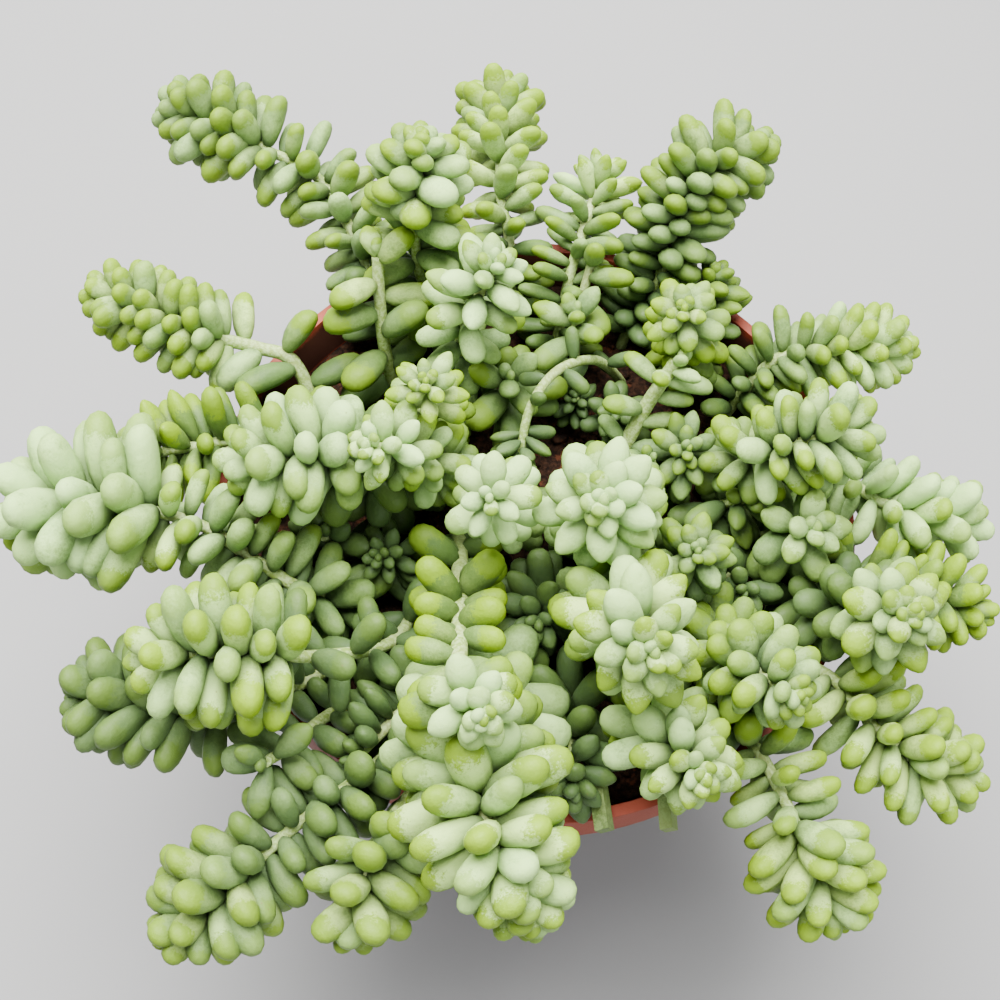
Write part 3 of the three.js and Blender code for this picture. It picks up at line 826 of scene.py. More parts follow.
class Room:
    """The room taken so far by stems and leaves, as capsules, from which the painted shade in the crevices
    between leaves is also worked out.

    near says how far off, in millimetres, others still count, and overlap how far leaves may press into
    each other. The last two say how far off others still add painted shade to a leaf, and how fast that
    painted shade fades with the gap.
    """

    limit: int = 14000
    near: float = 26.0
    overlap: float = 0.35
    shade_near: float = 13.0
    shade_fade: float = 0.8

    def __init__(self, pot: "Pot") -> None:
        """Starts with an empty list.

        Args:
            pot: the pot, whose rim and soil the leaves keep clear of.
        """
        self.pot = pot
        self.starts = np.zeros((self.limit, 3))
        self.ends = np.zeros((self.limit, 3))
        self.radii = np.zeros(self.limit)
        self.owners = np.zeros(self.limit, dtype=int)
        self.count = 0

    def take(self, owner: int, start: np.ndarray, end: np.ndarray, radius: float) -> int:
        """Adds a capsule.

        Args:
            owner: the number of the stem that it belongs to.
            start: its first end, in millimetres.
            end: its other end.
            radius: its radius.

        Returns:
            The capsule's number.
        """
        row = self.count
        self.starts[row], self.ends[row] = start, end
        self.radii[row], self.owners[row] = radius, owner
        self.count += 1
        return row

    def crevice_shade(self, row: int, points: np.ndarray) -> np.ndarray:
        """Painted shade that all other capsules cast on points of one capsule's leaf, by how closely they
        press.

        Args:
            row: the leaf's own capsule, which is left out.
            points: points on the leaf, in millimetres.

        Returns:
            For each point a share of painted shade from 0, in the open, to 1, deep between others.
        """
        rows = slice(0, self.count)
        middles = (self.starts[rows] + self.ends[rows]) / 2
        close = np.abs(middles - middles[row]).max(axis=1) < self.shade_near
        close[row] = False
        starts = self.starts[rows][close]
        spans = self.ends[rows][close] - starts
        offsets = points[:, None, :] - starts[None]
        shares = (offsets * spans).sum(axis=2) / np.maximum((spans * spans).sum(axis=1), TINY)
        nearest = offsets - np.clip(shares, 0, 1)[..., None] * spans
        gaps = np.maximum(np.linalg.norm(nearest, axis=2) - self.radii[rows][close], 0)
        # Painted shade: each near capsule darkens the point more, the smaller the gap
        return 1 - np.exp(-np.exp(-gaps / self.shade_fade).sum(axis=1))

    def is_free(self, owner: int, start: np.ndarray, end: np.ndarray, radius: float) -> bool:
        """Whether a capsule stays clear of other stems, the pot and the soil.

        Args:
            owner: the number of its own stem, which it may touch.
            start: its first end.
            end: its other end.
            radius: its radius.

        Returns:
            True where it is clear.
        """
        if not all(self.pot.is_clear(point, radius) for point in (start, (start + end) / 2, end)):
            return False
        rows = slice(0, self.count)
        middle = (self.starts[rows] + self.ends[rows]) / 2 - (start + end) / 2
        close = (self.owners[rows] != owner) & (np.abs(middle).max(axis=1) < self.near)
        if not close.any():
            return True
        gaps = self._gaps(start, end, self.starts[rows][close], self.ends[rows][close])
        return bool(np.all(gaps > radius + self.radii[rows][close] - self.overlap))

    @staticmethod
    def _gaps(start: np.ndarray, end: np.ndarray, starts: np.ndarray, ends: np.ndarray) -> np.ndarray:
        """Distances from one segment to many.

        Args:
            start: the segment's first end.
            end: its other end.
            starts: the many segments' first ends.
            ends: their other ends.

        Returns:
            The shortest distance to each.
        """
        u = end - start
        v = ends - starts
        w = start - starts
        uu = max(u @ u, TINY)
        uv = v @ u
        vv = np.maximum((v * v).sum(axis=1), TINY)
        uw = w @ u
        vw = (v * w).sum(axis=1)
        det = np.maximum(uu * vv - uv * uv, TINY)
        s = np.clip((uv * vw - vv * uw) / det, 0, 1)
        t = np.clip((uv * s + vw) / vv, 0, 1)
        s = np.clip((uv * t - uw) / uu, 0, 1)
        return np.linalg.norm(w + s[:, None] * u - t[:, None] * v, axis=1)


# Pot and soil


@dataclass
class Pot:
    """Round nursery pot with a rim band, tapering wall and drain holes.

    The leaves' room: rim_room is kept from the rim's round edge, which lies rim_drop below its top, by
    leaves less than rim_reach inside it, wall_room from the outside of the wall, and a leaf sinks at
    most soil_sink into the soil.
    """

    finish: PlasticFinish = field(default_factory=PlasticFinish)
    rim_band: float = 11.0
    band_step: float = 1.6
    lip: float = 2.0
    wall: float = 1.6
    foot_radius: float = 43.0
    step_depth: float = 2.0
    soil_drop: float = 9.0
    drain_holes: int = 6
    drain_radius: float = 4.0
    drain_circle: float = 27.0
    drain_sides: int = 24
    drain_depth: float = 6.0
    sides: int = 128
    flat_up: float = 0.9
    edge: float = 0.55
    edge_steps: int = 3
    edge_angle: float = 40.0
    smooth_angle: float = 35.0
    stain_and_shade_share: float = 0.8
    rim_drop: float = 0.5
    rim_room: float = 1.2
    rim_reach: float = 8.0
    wall_room: float = 3.6
    soil_sink: float = 0.4
    height: float = field(init=False)
    rim_radius: float = field(init=False)

    def __post_init__(self) -> None:
        """Reads the pot's height and width from the frame."""
        low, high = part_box("pot")
        self.height = (high[2] - low[2]) / MM
        self.rim_radius = (high[0] - low[0]) / MM / 2

    @property
    def soil_top(self) -> float:
        """Height of the soil above the pot's foot."""
        return self.height - self.soil_drop

    def is_clear(self, point: np.ndarray, radius: float) -> bool:
        """Whether a ball of this radius stays clear of the rim, the wall and the soil.

        Args:
            point: the ball's middle, in millimetres.
            radius: its radius.

        Returns:
            True where it is clear.
        """
        out = math.hypot(point[0], point[1])
        up = point[2] - self.height
        middle = self.rim_radius - self.lip / 2
        if up > -self.rim_drop:
            gap = math.hypot(out - middle, up + self.rim_drop)
            return gap > radius + self.rim_room or out < middle - self.rim_reach
        if out > self.rim_radius:
            return out - radius > self.rim_radius
        above_soil = point[2] - radius > self.soil_top - self.soil_sink
        return out + radius < self.rim_radius - self.wall_room and above_soil

    def _select_top(self, mesh: bpy.types.Mesh) -> None:
        """Selects the face with the highest middle that looks up.

        Args:
            mesh: the pot's mesh, in object mode.
        """
        ups = [face for face in mesh.polygons if face.normal.z > self.flat_up and len(face.vertices) > 4]
        deselect_mesh(mesh)
        max(ups, key=lambda face: face.center.z).select = True

    def _step(self, rise: float, before: float, after: float) -> None:
        """Extrudes the selected ring and scales it about the pot's axis.

        Args:
            rise: how far it goes up.
            before: its radius now.
            after: its new radius.
        """
        bpy.ops.mesh.extrude_region_move(TRANSFORM_OT_translate={"value": (0, 0, rise * MM)})
        share = after / before
        bpy.ops.transform.resize(value=(share, share, 1), center_override=(0, 0, 0))

    def build(self) -> bpy.types.Object:
        """Models the pot as one closed shell.

        Returns:
            The pot.
        """
        neck = self.rim_radius - self.band_step
        band_bottom = self.height - self.rim_band
        inner_step = neck - self.wall
        inner_foot = self.foot_radius + (neck - self.foot_radius) * self.wall / band_bottom - self.wall
        bpy.ops.object.select_all(action="DESELECT")
        bpy.ops.mesh.primitive_cone_add(vertices=self.sides, radius1=self.foot_radius * MM,
                                        radius2=neck * MM, depth=band_bottom * MM,
                                        location=(0, 0, band_bottom * MM / 2))
        pot = settle(bpy.context.object, "pot_shell")
        self._select_top(pot.data)
        bpy.ops.object.mode_set(mode="EDIT")
        bpy.ops.mesh.select_mode(type="FACE")
        self._step(0, neck, self.rim_radius)
        self._step(self.rim_band, 1, 1)
        self._step(0, self.rim_radius, self.rim_radius - self.lip)
        self._step(-self.rim_band - self.step_depth, self.rim_radius - self.lip, inner_step)
        self._step(self.step_depth + self.wall - band_bottom, inner_step, inner_foot)
        bpy.ops.mesh.select_all(action="SELECT")
        bpy.ops.mesh.normals_make_consistent(inside=False)
        bpy.ops.object.mode_set(mode="OBJECT")
        self._drill(pot)
        edges = pot.modifiers.new("edges", "BEVEL")
        edges.width = self.edge * MM
        edges.segments = self.edge_steps
        edges.angle_limit = math.radians(self.edge_angle)
        select_only(pot)
        bpy.ops.object.modifier_apply(modifier=edges.name)
        bpy.ops.object.shade_smooth_by_angle(angle=math.radians(self.smooth_angle))
        # The wall inside this radius gets soil stains and painted shade
        brim = self.rim_radius - self.lip * self.stain_and_shade_share
        dress(pot, self.finish.material(brim, self.height, self.rim_band))
        report(pot, ["pot"])
        return pot

    def _drill(self, pot: bpy.types.Object) -> None:
        """Cuts the drain holes.

        Args:
            pot: the pot's shell.
        """
        for number in range(self.drain_holes):
            turn = 2 * math.pi * number / self.drain_holes
            place = Vector((math.cos(turn), math.sin(turn), 0)) * self.drain_circle * MM
            bpy.ops.object.select_all(action="DESELECT")
            bpy.ops.mesh.primitive_cylinder_add(vertices=self.drain_sides, radius=self.drain_radius * MM,
                                                depth=self.drain_depth * MM, location=place)
            drill = bpy.context.object
            cut = pot.modifiers.new("drain", "BOOLEAN")
            cut.operation = "DIFFERENCE"
            cut.object = drill
            select_only(pot)
            bpy.ops.object.modifier_apply(modifier=cut.name)
            bpy.data.objects.remove(drill)


@dataclass
class Soil:
    """Potting mix: a lumpy body with loose crumbs and a bark chip on it.

    Sizes are in millimetres, except those of the crumbs' mould, which is one unit wide.
    """

    pot: Pot
    finish: SoilFinish = field(default_factory=SoilFinish)
    bark: BarkFinish = field(default_factory=BarkFinish)
    rings: int = 18
    sides: int = 72
    pot_gap: float = 0.5
    flat_up: float = 0.9
    finer_levels: int = 2
    level_play: float = 0.01
    lumpy_share: float = 0.985
    lump_size: float = 3.4
    lump_layers: int = 4
    lump_height: float = 2.6
    lump_middle: float = 0.6
    crumbs: int = 700
    crumb_size: Span = (0.9, 3.0)
    crumb_spread: Span = (0.5, 1.0)
    crumb_stretch: Span = (0.8, 1.8)
    crumb_height: float = 0.7
    crumb_lift: float = 0.2
    crumb_turns: Span = (0.0, 6.28)
    crumb_edge: float = 5.5
    mould_levels: int = 2
    mould_clouds: float = 0.45
    mould_relief: float = 0.45
    seed: int = 7
    chip_length: float = 7.8
    chip_width: float = 3.2
    chip_turn: float = 25.0
    chip_cuts: int = 5
    chip_clouds: float = 1.6
    chip_relief: float = 0.8
    chip_smooth: float = 50.0

    def build(self) -> None:
        """Models the soil, its crumbs and the chip."""
        material = self.finish.material()
        self._body(material)
        self._crumbs(material)
        self._chip()

    def _body(self, material: bpy.types.Material) -> None:
        """Models the soil's body with a lumpy top.

        Args:
            material: the soil material.
        """
        low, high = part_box("soil")
        radius = (high[0] - low[0]) / 2
        bottom, top = low[2], self.pot.soil_top * MM
        foot_share = (self.pot.foot_radius - self.pot.wall - self.pot_gap) * MM / radius
        bpy.ops.object.select_all(action="DESELECT")
        bpy.ops.mesh.primitive_cone_add(vertices=self.sides, radius1=radius * foot_share, radius2=radius,
                                        depth=top - bottom, location=(0, 0, (top + bottom) / 2))
        soil = settle(bpy.context.object, "soil_bed")
        deselect_mesh(soil.data)
        for face in soil.data.polygons:
            face.select = face.normal.z > self.flat_up
        bpy.ops.object.mode_set(mode="EDIT")
        bpy.ops.mesh.select_mode(type="FACE")
        for _ in range(self.rings):
            bpy.ops.mesh.inset(thickness=radius / (self.rings + 1))
        bpy.ops.object.mode_set(mode="OBJECT")
        group = soil.vertex_groups.new(name="top")
        reach = radius * self.lumpy_share
        level = top - self.level_play * MM
        inner = [vertex.index for vertex in soil.data.vertices
                 if vertex.co.z > level and math.hypot(vertex.co.x, vertex.co.y) < reach]
        group.add(inner, 1.0, "REPLACE")
        finer = soil.modifiers.new("finer", "SUBSURF")
        finer.subdivision_type = "SIMPLE"
        finer.levels = finer.render_levels = self.finer_levels
        lumps = soil.modifiers.new("lumps", "DISPLACE")
        lumps.texture = clouds("soil_clouds", self.lump_size * MM, self.lump_layers)
        lumps.texture_coords = "LOCAL"
        lumps.direction = "Z"
        lumps.vertex_group = "top"
        lumps.mid_level = self.lump_middle
        lumps.strength = self.lump_height * MM
        select_only(soil)
        for name in ("finer", "lumps"):
            bpy.ops.object.modifier_apply(modifier=name)
        bpy.ops.object.shade_smooth()
        dress(soil, material)
        report(soil, ["soil"])

    def _crumbs(self, material: bpy.types.Material) -> None:
        """Scatters irregular crumbs over the soil.

        Args:
            material: the soil material.
        """
        draw = random.Random(self.seed)
        bpy.ops.object.select_all(action="DESELECT")
        bpy.ops.mesh.primitive_ico_sphere_add(subdivisions=self.mould_levels, radius=0.5)
        mould = bpy.context.object
        rough = mould.modifiers.new("rough", "DISPLACE")
        rough.texture = clouds("crumb_clouds", self.mould_clouds)
        rough.strength = self.mould_relief
        select_only(mould)
        bpy.ops.object.modifier_apply(modifier=rough.name)
        reach = self.pot.rim_radius - self.crumb_edge
        pieces = []
        for _ in range(self.crumbs):
            out = reach * math.sqrt(draw.random())
            turn = draw.uniform(0, 2 * math.pi)
            size = draw.uniform(*self.crumb_size) * draw.uniform(*self.crumb_spread)
            height = self.pot.soil_top + size * self.crumb_lift
            place = Vector((out * math.cos(turn), out * math.sin(turn), height))
            spin = Matrix.Rotation(draw.uniform(*self.crumb_turns), 4, "Z")
            spin = spin @ Matrix.Rotation(draw.uniform(*self.crumb_turns), 4, "X")
            length = size * draw.uniform(*self.crumb_stretch)
            stretch = Matrix.Diagonal((length, size, size * self.crumb_height, 1))
            crumb = bpy.data.objects.new("crumb", mould.data.copy())
            crumb.data.transform(Matrix.Scale(MM, 4) @ Matrix.Translation(place) @ spin @ stretch)
            bpy.context.collection.objects.link(crumb)
            pieces.append(crumb)
        bpy.data.objects.remove(mould)
        crumbs = settle(join(pieces), "soil_crumbs")
        dress(crumbs, material)
        bpy.ops.object.shade_smooth()
        report(crumbs)

    def _chip(self) -> None:
        """Models the bark chip where its node lies."""
        low, high = (Vector(corner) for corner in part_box("wood_chip"))
        scale = (self.chip_length * MM, self.chip_width * MM, high.z - low.z)
        bpy.ops.object.select_all(action="DESELECT")
        bpy.ops.mesh.primitive_cube_add(size=1, location=(low + high) / 2, scale=scale,
                                        rotation=(0, 0, math.radians(self.chip_turn)))
        chip = settle(bpy.context.object, "bark_chip")
        bpy.ops.object.mode_set(mode="EDIT")
        bpy.ops.mesh.select_all(action="SELECT")
        bpy.ops.mesh.subdivide(number_cuts=self.chip_cuts)
        bpy.ops.object.mode_set(mode="OBJECT")
        worn = chip.modifiers.new("worn", "DISPLACE")
        worn.texture = clouds("chip_clouds", self.chip_clouds * MM)
        worn.texture_coords = "LOCAL"
        worn.strength = self.chip_relief * MM
        select_only(chip)
        bpy.ops.object.modifier_apply(modifier=worn.name)
        bpy.ops.object.shade_smooth_by_angle(angle=math.radians(self.chip_smooth))
        dress(chip, self.bark.material())
        report(chip, ["wood_chip"])


# Leaves and stems

Outline = tuple[tuple[float, float], ...]


class LeafShape(Enum):
    """A leaf's bend towards the stem's tip, and its rings as shares of its length and width."""

    PLUMP = (0.05, ((0.04, 0.40), (0.15, 0.69), (0.34, 0.93), (0.55, 1.00),
                    (0.75, 0.97), (0.89, 0.78), (0.97, 0.45)))
    SPOON = (0.12, ((0.05, 0.34), (0.17, 0.58), (0.36, 0.86), (0.57, 1.00),
                    (0.76, 0.89), (0.89, 0.59), (0.97, 0.28)))
    CURVED = (0.20, ((0.04, 0.44), (0.15, 0.70), (0.34, 0.92), (0.55, 1.00),
                     (0.75, 0.96), (0.89, 0.78), (0.97, 0.45)))
    BEAD = (0.0, ((0.06, 0.45), (0.18, 0.72), (0.36, 0.94), (0.54, 1.00),
                  (0.72, 0.95), (0.86, 0.76), (0.955, 0.44)))

    @property
    def bend(self) -> float:
        """How far the leaf's end bends towards the stem's tip."""
        return self.value[0]

    @property
    def outline(self) -> Outline:
        """The leaf's rings."""
        return self.value[1]


@dataclass
class LeafMould:
    """One leaf on the Z axis, one unit long and one unit wide, that the others are copied from."""

    shape: LeafShape
    sides: int = 12
    radius: float = 0.5
    flat_side: float = 0.8
    same_height: float = 1e-4

    def build(self) -> bpy.types.Object:
        """Shapes a sphere ring by ring into the leaf.

        Returns:
            The leaf, with its colour attribute's first channel running from base to tip.
        """
        bend, outline = self.shape.bend, self.shape.outline
        spans = len(outline) + 1
        bpy.ops.object.select_all(action="DESELECT")
        bpy.ops.mesh.primitive_uv_sphere_add(segments=self.sides, ring_count=spans, radius=self.radius)
        leaf = bpy.context.object
        turns = [math.pi * number / spans for number in range(1, spans)]
        old = [(-self.radius * math.cos(turn), self.radius * math.sin(turn)) for turn in turns]
        rings = [self._ring(leaf.data, height) for height, _ in old]
        foot = self._ring(leaf.data, -self.radius)
        crown = self._ring(leaf.data, self.radius)
        for ring, (height, radius), (share, width) in zip(rings, old, outline):
            grow = self.radius * width / radius
            self._shift(leaf, ring, height, share - height, grow, bend * share ** 2)
        self._shift(leaf, foot, -self.radius, self.radius, 1.0, 0.0)
        self._shift(leaf, crown, self.radius, self.radius, 1.0, bend)
        self._flatten(leaf)
        marks = leaf.data.color_attributes.new("leaf", "FLOAT_COLOR", "POINT")
        heights = [vertex.co.z for vertex in leaf.data.vertices]
        marks.data.foreach_set("color", [value for z in heights for value in (z, 0.0, 0.0, 1.0)])
        select_only(leaf)
        bpy.ops.object.shade_smooth()
        leaf.name = f"leaf_mould_{self.shape.name.lower()}"
        return leaf

    def _ring(self, mesh: bpy.types.Mesh, height: float) -> list[int]:
        """The numbers of the vertices at one height.

        Args:
            mesh: the sphere's mesh.
            height: the height.

        Returns:
            Their numbers.
        """
        return [vertex.index for vertex in mesh.vertices if abs(vertex.co.z - height) < self.same_height]

    @staticmethod
    def _shift(leaf: bpy.types.Object, ring: list[int], height: float, rise: float, grow: float,
               lift: float) -> None:
        """Moves and scales one ring of vertices.

        Args:
            leaf: the leaf.
            ring: the vertices' numbers.
            height: the ring's height on the sphere.
            rise: how far it goes up.
            grow: how much wider it gets.
            lift: how far it goes towards the stem's tip.
        """
        deselect_mesh(leaf.data)
        for number in ring:
            leaf.data.vertices[number].select = True
        bpy.ops.object.mode_set(mode="EDIT")
        bpy.ops.mesh.select_mode(type="VERT")
        bpy.ops.transform.resize(value=(grow, grow, 1), center_override=(0, 0, height))
        bpy.ops.transform.translate(value=(0, lift, rise))
        bpy.ops.object.mode_set(mode="OBJECT")

    def _flatten(self, leaf: bpy.types.Object) -> None:
        """Presses the side that faces the stem's tip a little flatter.

        Args:
            leaf: the leaf.
        """
        for vertex in leaf.data.vertices:
            middle = self.shape.bend * vertex.co.z ** 2
            if vertex.co.y > middle:
                vertex.co.y = middle + (vertex.co.y - middle) * self.flat_side


class StemPath:
    """The way of one stem, as a smooth curve through its points."""

    foot_depth: float = 6.0
    foot_shares: tuple[float, ...] = (-1, -1 / 3, 1 / 3)
    steps: int = 24

    def __init__(self, plan: StemPlan, pot: Pot) -> None:
        """Samples the curve.

        Args:
            plan: the stem's plan.
            pot: the pot, for the heights of its rim and soil.
        """
        x, y = plan.foot
        low = [(x, y, pot.soil_top + self.foot_depth * share) for share in self.foot_shares]
        high = [(px, py, pz + pot.height) for px, py, pz in (*plan.via, plan.tip)]
        knots = np.array(low + high, dtype=float)
        self.points = self._smooth(knots)
        spans = np.linalg.norm(np.diff(self.points, axis=0), axis=1)
        self.marks = np.concatenate([[0.0], np.cumsum(spans)])
        self.length = float(self.marks[-1])
        self.frames = self._turnless_frames()

    def _smooth(self, knots: np.ndarray) -> np.ndarray:
        """Runs a Catmull-Rom curve through the knots.

        Args:
            knots: the points to pass through.

        Returns:
            Close points along the curve.
        """
        ends = np.vstack([2 * knots[0] - knots[1], knots, 2 * knots[-1] - knots[-2]])
        shares = np.arange(self.steps) / self.steps
        spans = []
        for before, start, end, after in zip(ends, ends[1:], ends[2:], ends[3:]):
            leave, arrive = (end - before) / 2, (after - start) / 2
            t = shares[:, None]
            spans.append(start + leave * t + (3 * (end - start) - 2 * leave - arrive) * t ** 2
                         + (2 * (start - end) + leave + arrive) * t ** 3)
        return np.vstack([*spans, knots[-1:]])

    def _turnless_frames(self) -> np.ndarray:
        """Carries a frame along the curve without twist.

        Returns:
            For each point the tangent and two normals.
        """
        tangents = np.gradient(self.points, axis=0)
        tangents /= np.linalg.norm(tangents, axis=1)[:, None]
        normal = np.array([1.0, 0.0, 0.0])
        frames = []
        for tangent in tangents:
            normal = normal - tangent * (normal @ tangent)
            normal /= np.linalg.norm(normal)
            frames.append((tangent, normal, np.cross(tangent, normal)))
        return np.array(frames)

    def at(self, back: float) -> tuple[np.ndarray, np.ndarray]:
        """The place and frame at a distance from the tip.

        Args:
            back: the distance, in millimetres.

        Returns:
            The point, and the tangent and two normals there.
        """
        mark = self.length - back
        point = np.array([np.interp(mark, self.marks, self.points[:, k]) for k in range(3)])
        return point, self.frames[int(np.searchsorted(self.marks, mark).clip(0, len(self.marks) - 1))]


# A leaf that finds no room is tried again: its lean's share, its swing in radians and its size's share
TRIES = ((1, 0, 1), (0.8, 0, 1), (1.2, 0, 1), (1, 0.4, 0.95), (1, -0.4, 0.95), (0.6, 0, 0.9), (1, 0, 0.8))


@dataclass(frozen=True)
class LeafSpot:
    """One leaf's place: start on the stem, the stem's axis, the leaf's direction, sizes and tone.

    reach is its length from the stem's middle, and row the number of its capsule in the room.
    """

    shape: LeafShape
    start: np.ndarray
    axis: np.ndarray
    along: np.ndarray
    reach: float
    width: float
    tone: Tone
    row: int


@dataclass(frozen=True)
class LeafHabit:
    """How leaves grow and vary. Angles are in degrees, except the turns round the stem, in radians.

    A leaf grows from bud to full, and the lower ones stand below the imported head. The first stands
    first_back millimetres from the tip. The growing end is end_leaves leaf lengths long, and end_head
    more for each leaf length of the head. The spreads are the least and the most of a seeded draw, and
    the other numbers are shares.
    """

    width_share: float = 0.56
    thick_share: float = 0.49
    reach_share: float = 1.28
    capsule_share: float = 0.92
    bud_size: float = 0.36
    bud_width: float = 1.3
    bud_lean: float = 6.0
    bud_pitch: float = 0.35
    # Shares of painted shade in crevices, for buds and for grown leaves
    bud_crevices: float = 0.3
    full_crevices: float = 0.95
    lean_curve: float = 0.5
    lower_lean: float = 8.0
    first_back: float = 0.15
    end_leaves: float = 0.8
    end_head: float = 0.22
    lower_pitch: float = 0.12
    bead_until: float = 0.35
    plump_head: float = 1.6
    curved_head: float = 0.2
    curved_lower: float = 0.6
    size_spread: Span = (0.86, 1.1)
    width_spread: Span = (0.94, 1.06)
    lean_spread: Span = (-5.0, 5.0)
    turn_spread: Span = (-0.25, 0.25)
    pitch_spread: Span = (0.7, 1.3)
    pair_turn: Span = (-0.6, 1.0)
    pair_lean: Span = (-28.0, 20.0)
    pair_size: Span = (0.82, 1.08)
    yellow_spread: Span = (0.3, 1.7)
    wax_spread: Span = (0.75, 1.2)
    yellow_in_dark: float = 0.4
    wax_in_dark: float = 0.2
    # Painted shade added deep in the pot, and the most painted shade a leaf gets
    shade_in_dark: float = 0.55
    most_shade: float = 0.85
    most_yellow: float = 1.3
    most_wax: float = 1.05
    seed: int = 1000


@dataclass
class Foliage:
    """All the leafy stems of the plant. Lengths are in millimetres.

    A bare stem keeps one point of its path in thinning's first number, or in its second on a path of
    more than long_path points. Light grows from light_floor above the soil over light_depth, and
    outwards from light_edge inside the rim over light_reach; where it is low, leaves get painted shade
    and less wax and yellow. A stem is upright while the sine of its lean stays below upright.
    """

    pot: Pot
    habit: LeafHabit = field(default_factory=LeafHabit)
    leaf_finish: LeafFinish = field(default_factory=LeafFinish)
    stem_finish: StemFinish = field(default_factory=StemFinish)
    stub_finish: StemFinish = StemFinish("stub_skin", green=(0.07, 0.12, 0.018), fawn=(0.13, 0.18, 0.035),
                                         wax=(0.17, 0.24, 0.07))
    stem_radius: float = 1.5
    root_share: float = 0.4
    stem_taper: Span = (1.05, 0.35)
    stem_rounding: int = 3
    stem_smooth: float = 50.0
    stem_stop: float = 4.0
    thinning: tuple[int, int] = (2, 3)
    long_path: int = 60
    soil_clear: float = 3.0
    light_floor: float = 5.0
    light_depth: float = 28.0
    light_edge: float = 6.0
    light_reach: float = 10.0
    upright: float = 0.02

    def build(self) -> None:
        """Grows every stem and stub and dresses them."""
        self.room = Room(self.pot)
        self.leaf_material = self.leaf_finish.material()
        self.stem_material = self.stem_finish.material(self.pot.height)
        self.stub_material = self.stub_finish.material(self.pot.height)
        self.moulds = {shape: LeafMould(shape).build() for shape in LeafShape}
        plans = [*STEMS, *STUBS]
        paths = [StemPath(plan, self.pot) for plan in plans]
        for number, path in enumerate(paths):
            self._reserve(number, path)
        spots = [self._spots(number, plan, path) for number, (plan, path) in enumerate(zip(plans, paths))]
        for plan, path, leaves in zip(plans, paths, spots):
            pieces = [self._bar(path, plan), *(self._leaf(spot) for spot in leaves)]
            stem = settle(join(pieces), f"{plan.name}_growth")
            report(stem, [plan.name])
        for mould in self.moulds.values():
            bpy.data.objects.remove(mould)
        LOG.info("leaves placed: %d", sum(len(leaves) for leaves in spots))

    def _reserve(self, number: int, path: StemPath) -> None:
        """Takes the room of a bare stem.

        Args:
            number: the stem's number.
            path: its path.
        """
        stops = np.linspace(0, path.length, int(path.length / self.stem_stop) + 2)
        points = [path.at(stop)[0] for stop in stops]
        for start, end in zip(points, points[1:]):
            self.room.take(number, start, end, self.stem_radius)

    def _bar(self, path: StemPath, plan: StemPlan) -> bpy.types.Object:
        """Models the bare stem as a tapering tube.

        Args:
            path: the stem's path.
            plan: its plan.

        Returns:
            The tube.
        """
        is_stub = plan.leaf == 0
        curve = bpy.data.curves.new("bar", "CURVE")
        curve.dimensions = "3D"
        curve.bevel_depth = plan.bar * MM
        curve.bevel_resolution = 0 if is_stub else self.stem_rounding
        curve.use_fill_caps = True
        spline = curve.splines.new("POLY")
        every = self.thinning[len(path.points) > self.long_path]
        points = np.vstack([path.points[::every], path.points[-1:]])
        spline.points.add(len(points) - 1)
        widest, taper = self.stem_taper
        for knot, (x, y, z), share in zip(spline.points, points, np.linspace(0, 1, len(points))):
            knot.co = (x * MM, y * MM, z * MM, 1)
            knot.radius = 1.0 if is_stub else widest - taper * share
        bar = bpy.data.objects.new("bar", curve)
        bpy.context.collection.objects.link(bar)
        select_only(bar)
        bpy.ops.object.convert(target="MESH")
        bar = bpy.context.object
        bpy.ops.object.shade_smooth_by_angle(angle=math.radians(self.stem_smooth))
        bar.data.materials.append(self.stub_material if is_stub else self.stem_material)
        if not is_stub:
            bar.data.materials.append(self.leaf_material)
        return bar

    def _places(self, plan: StemPlan, length: float) -> Iterator[tuple[int, float, float]]:
        """Where the leaves stand, from the tip down.

        Args:
            plan: the stem's plan.
            length: the stem's length.

        Yields:
            The leaf's number, its distance from the tip and how far it is grown.
        """
        habit = self.habit
        back, index = habit.first_back, 0
        draw = random.Random(plan.name)
        head = plan.dense / (plan.leaf or 1)
        bud = (habit.end_leaves + habit.end_head * head) / plan.pack * plan.young
        while plan.leaf and back < length - StemPath.foot_depth - self.soil_clear:
            youth = min(1.0, index / bud)
            yield index, back, youth
            if back < plan.dense:
                back += plan.pack * plan.leaf * (habit.bud_pitch + (1 - habit.bud_pitch) * youth)
            else:
                pitch = habit.lower_pitch * (plan.older or plan.leaf) * plan.sparse
                back += pitch * draw.uniform(*habit.pitch_spread)
            index += 1

    def _spots(self, number: int, plan: StemPlan, path: StemPath) -> list[LeafSpot]:
        """Finds room for the leaves of one stem.

        Args:
            number: the stem's number.
            plan: its plan.
            path: its path.

        Returns:
            The leaves' places.
        """
        habit = self.habit
        draw = random.Random(habit.seed + number)
        spots = []
        for index, back, youth in self._places(plan, path.length):
            lower = back > plan.dense
            full = (plan.older or plan.leaf) if lower else plan.leaf
            size = full * (habit.bud_size + (1 - habit.bud_size) * youth) * draw.uniform(*habit.size_spread)
            width = size * habit.width_share * plan.slim * draw.uniform(*habit.width_spread)
            width *= habit.bud_width - (habit.bud_width - 1) * youth
            lean = habit.bud_lean + (plan.lean - habit.bud_lean) * youth ** (habit.lean_curve / plan.young)
            tilt = math.radians(lean + draw.uniform(*habit.lean_spread) + (habit.lower_lean if lower else 0))
            turn = index * GOLDEN_ANGLE + draw.uniform(*habit.turn_spread)
            start, axes = path.at(back)
            if lower and plan.pairs:
                turn = index * math.pi + draw.uniform(*habit.pair_turn) * (-1) ** index
                tilt += math.radians(draw.uniform(*habit.pair_lean))
                size *= draw.uniform(*habit.pair_size)
                axes = self._level(axes[0])
            shape = self._shape(plan, lower, youth, draw)
            found = self._fit(number, start, axes, (tilt, turn), size, width)
            if found:
                along, reach, row = found
                tone = self._tone(plan, lower, youth, self._light(start), draw)
                spots.append(LeafSpot(shape, start, axes[0], along, reach, width, tone, row))
        return spots

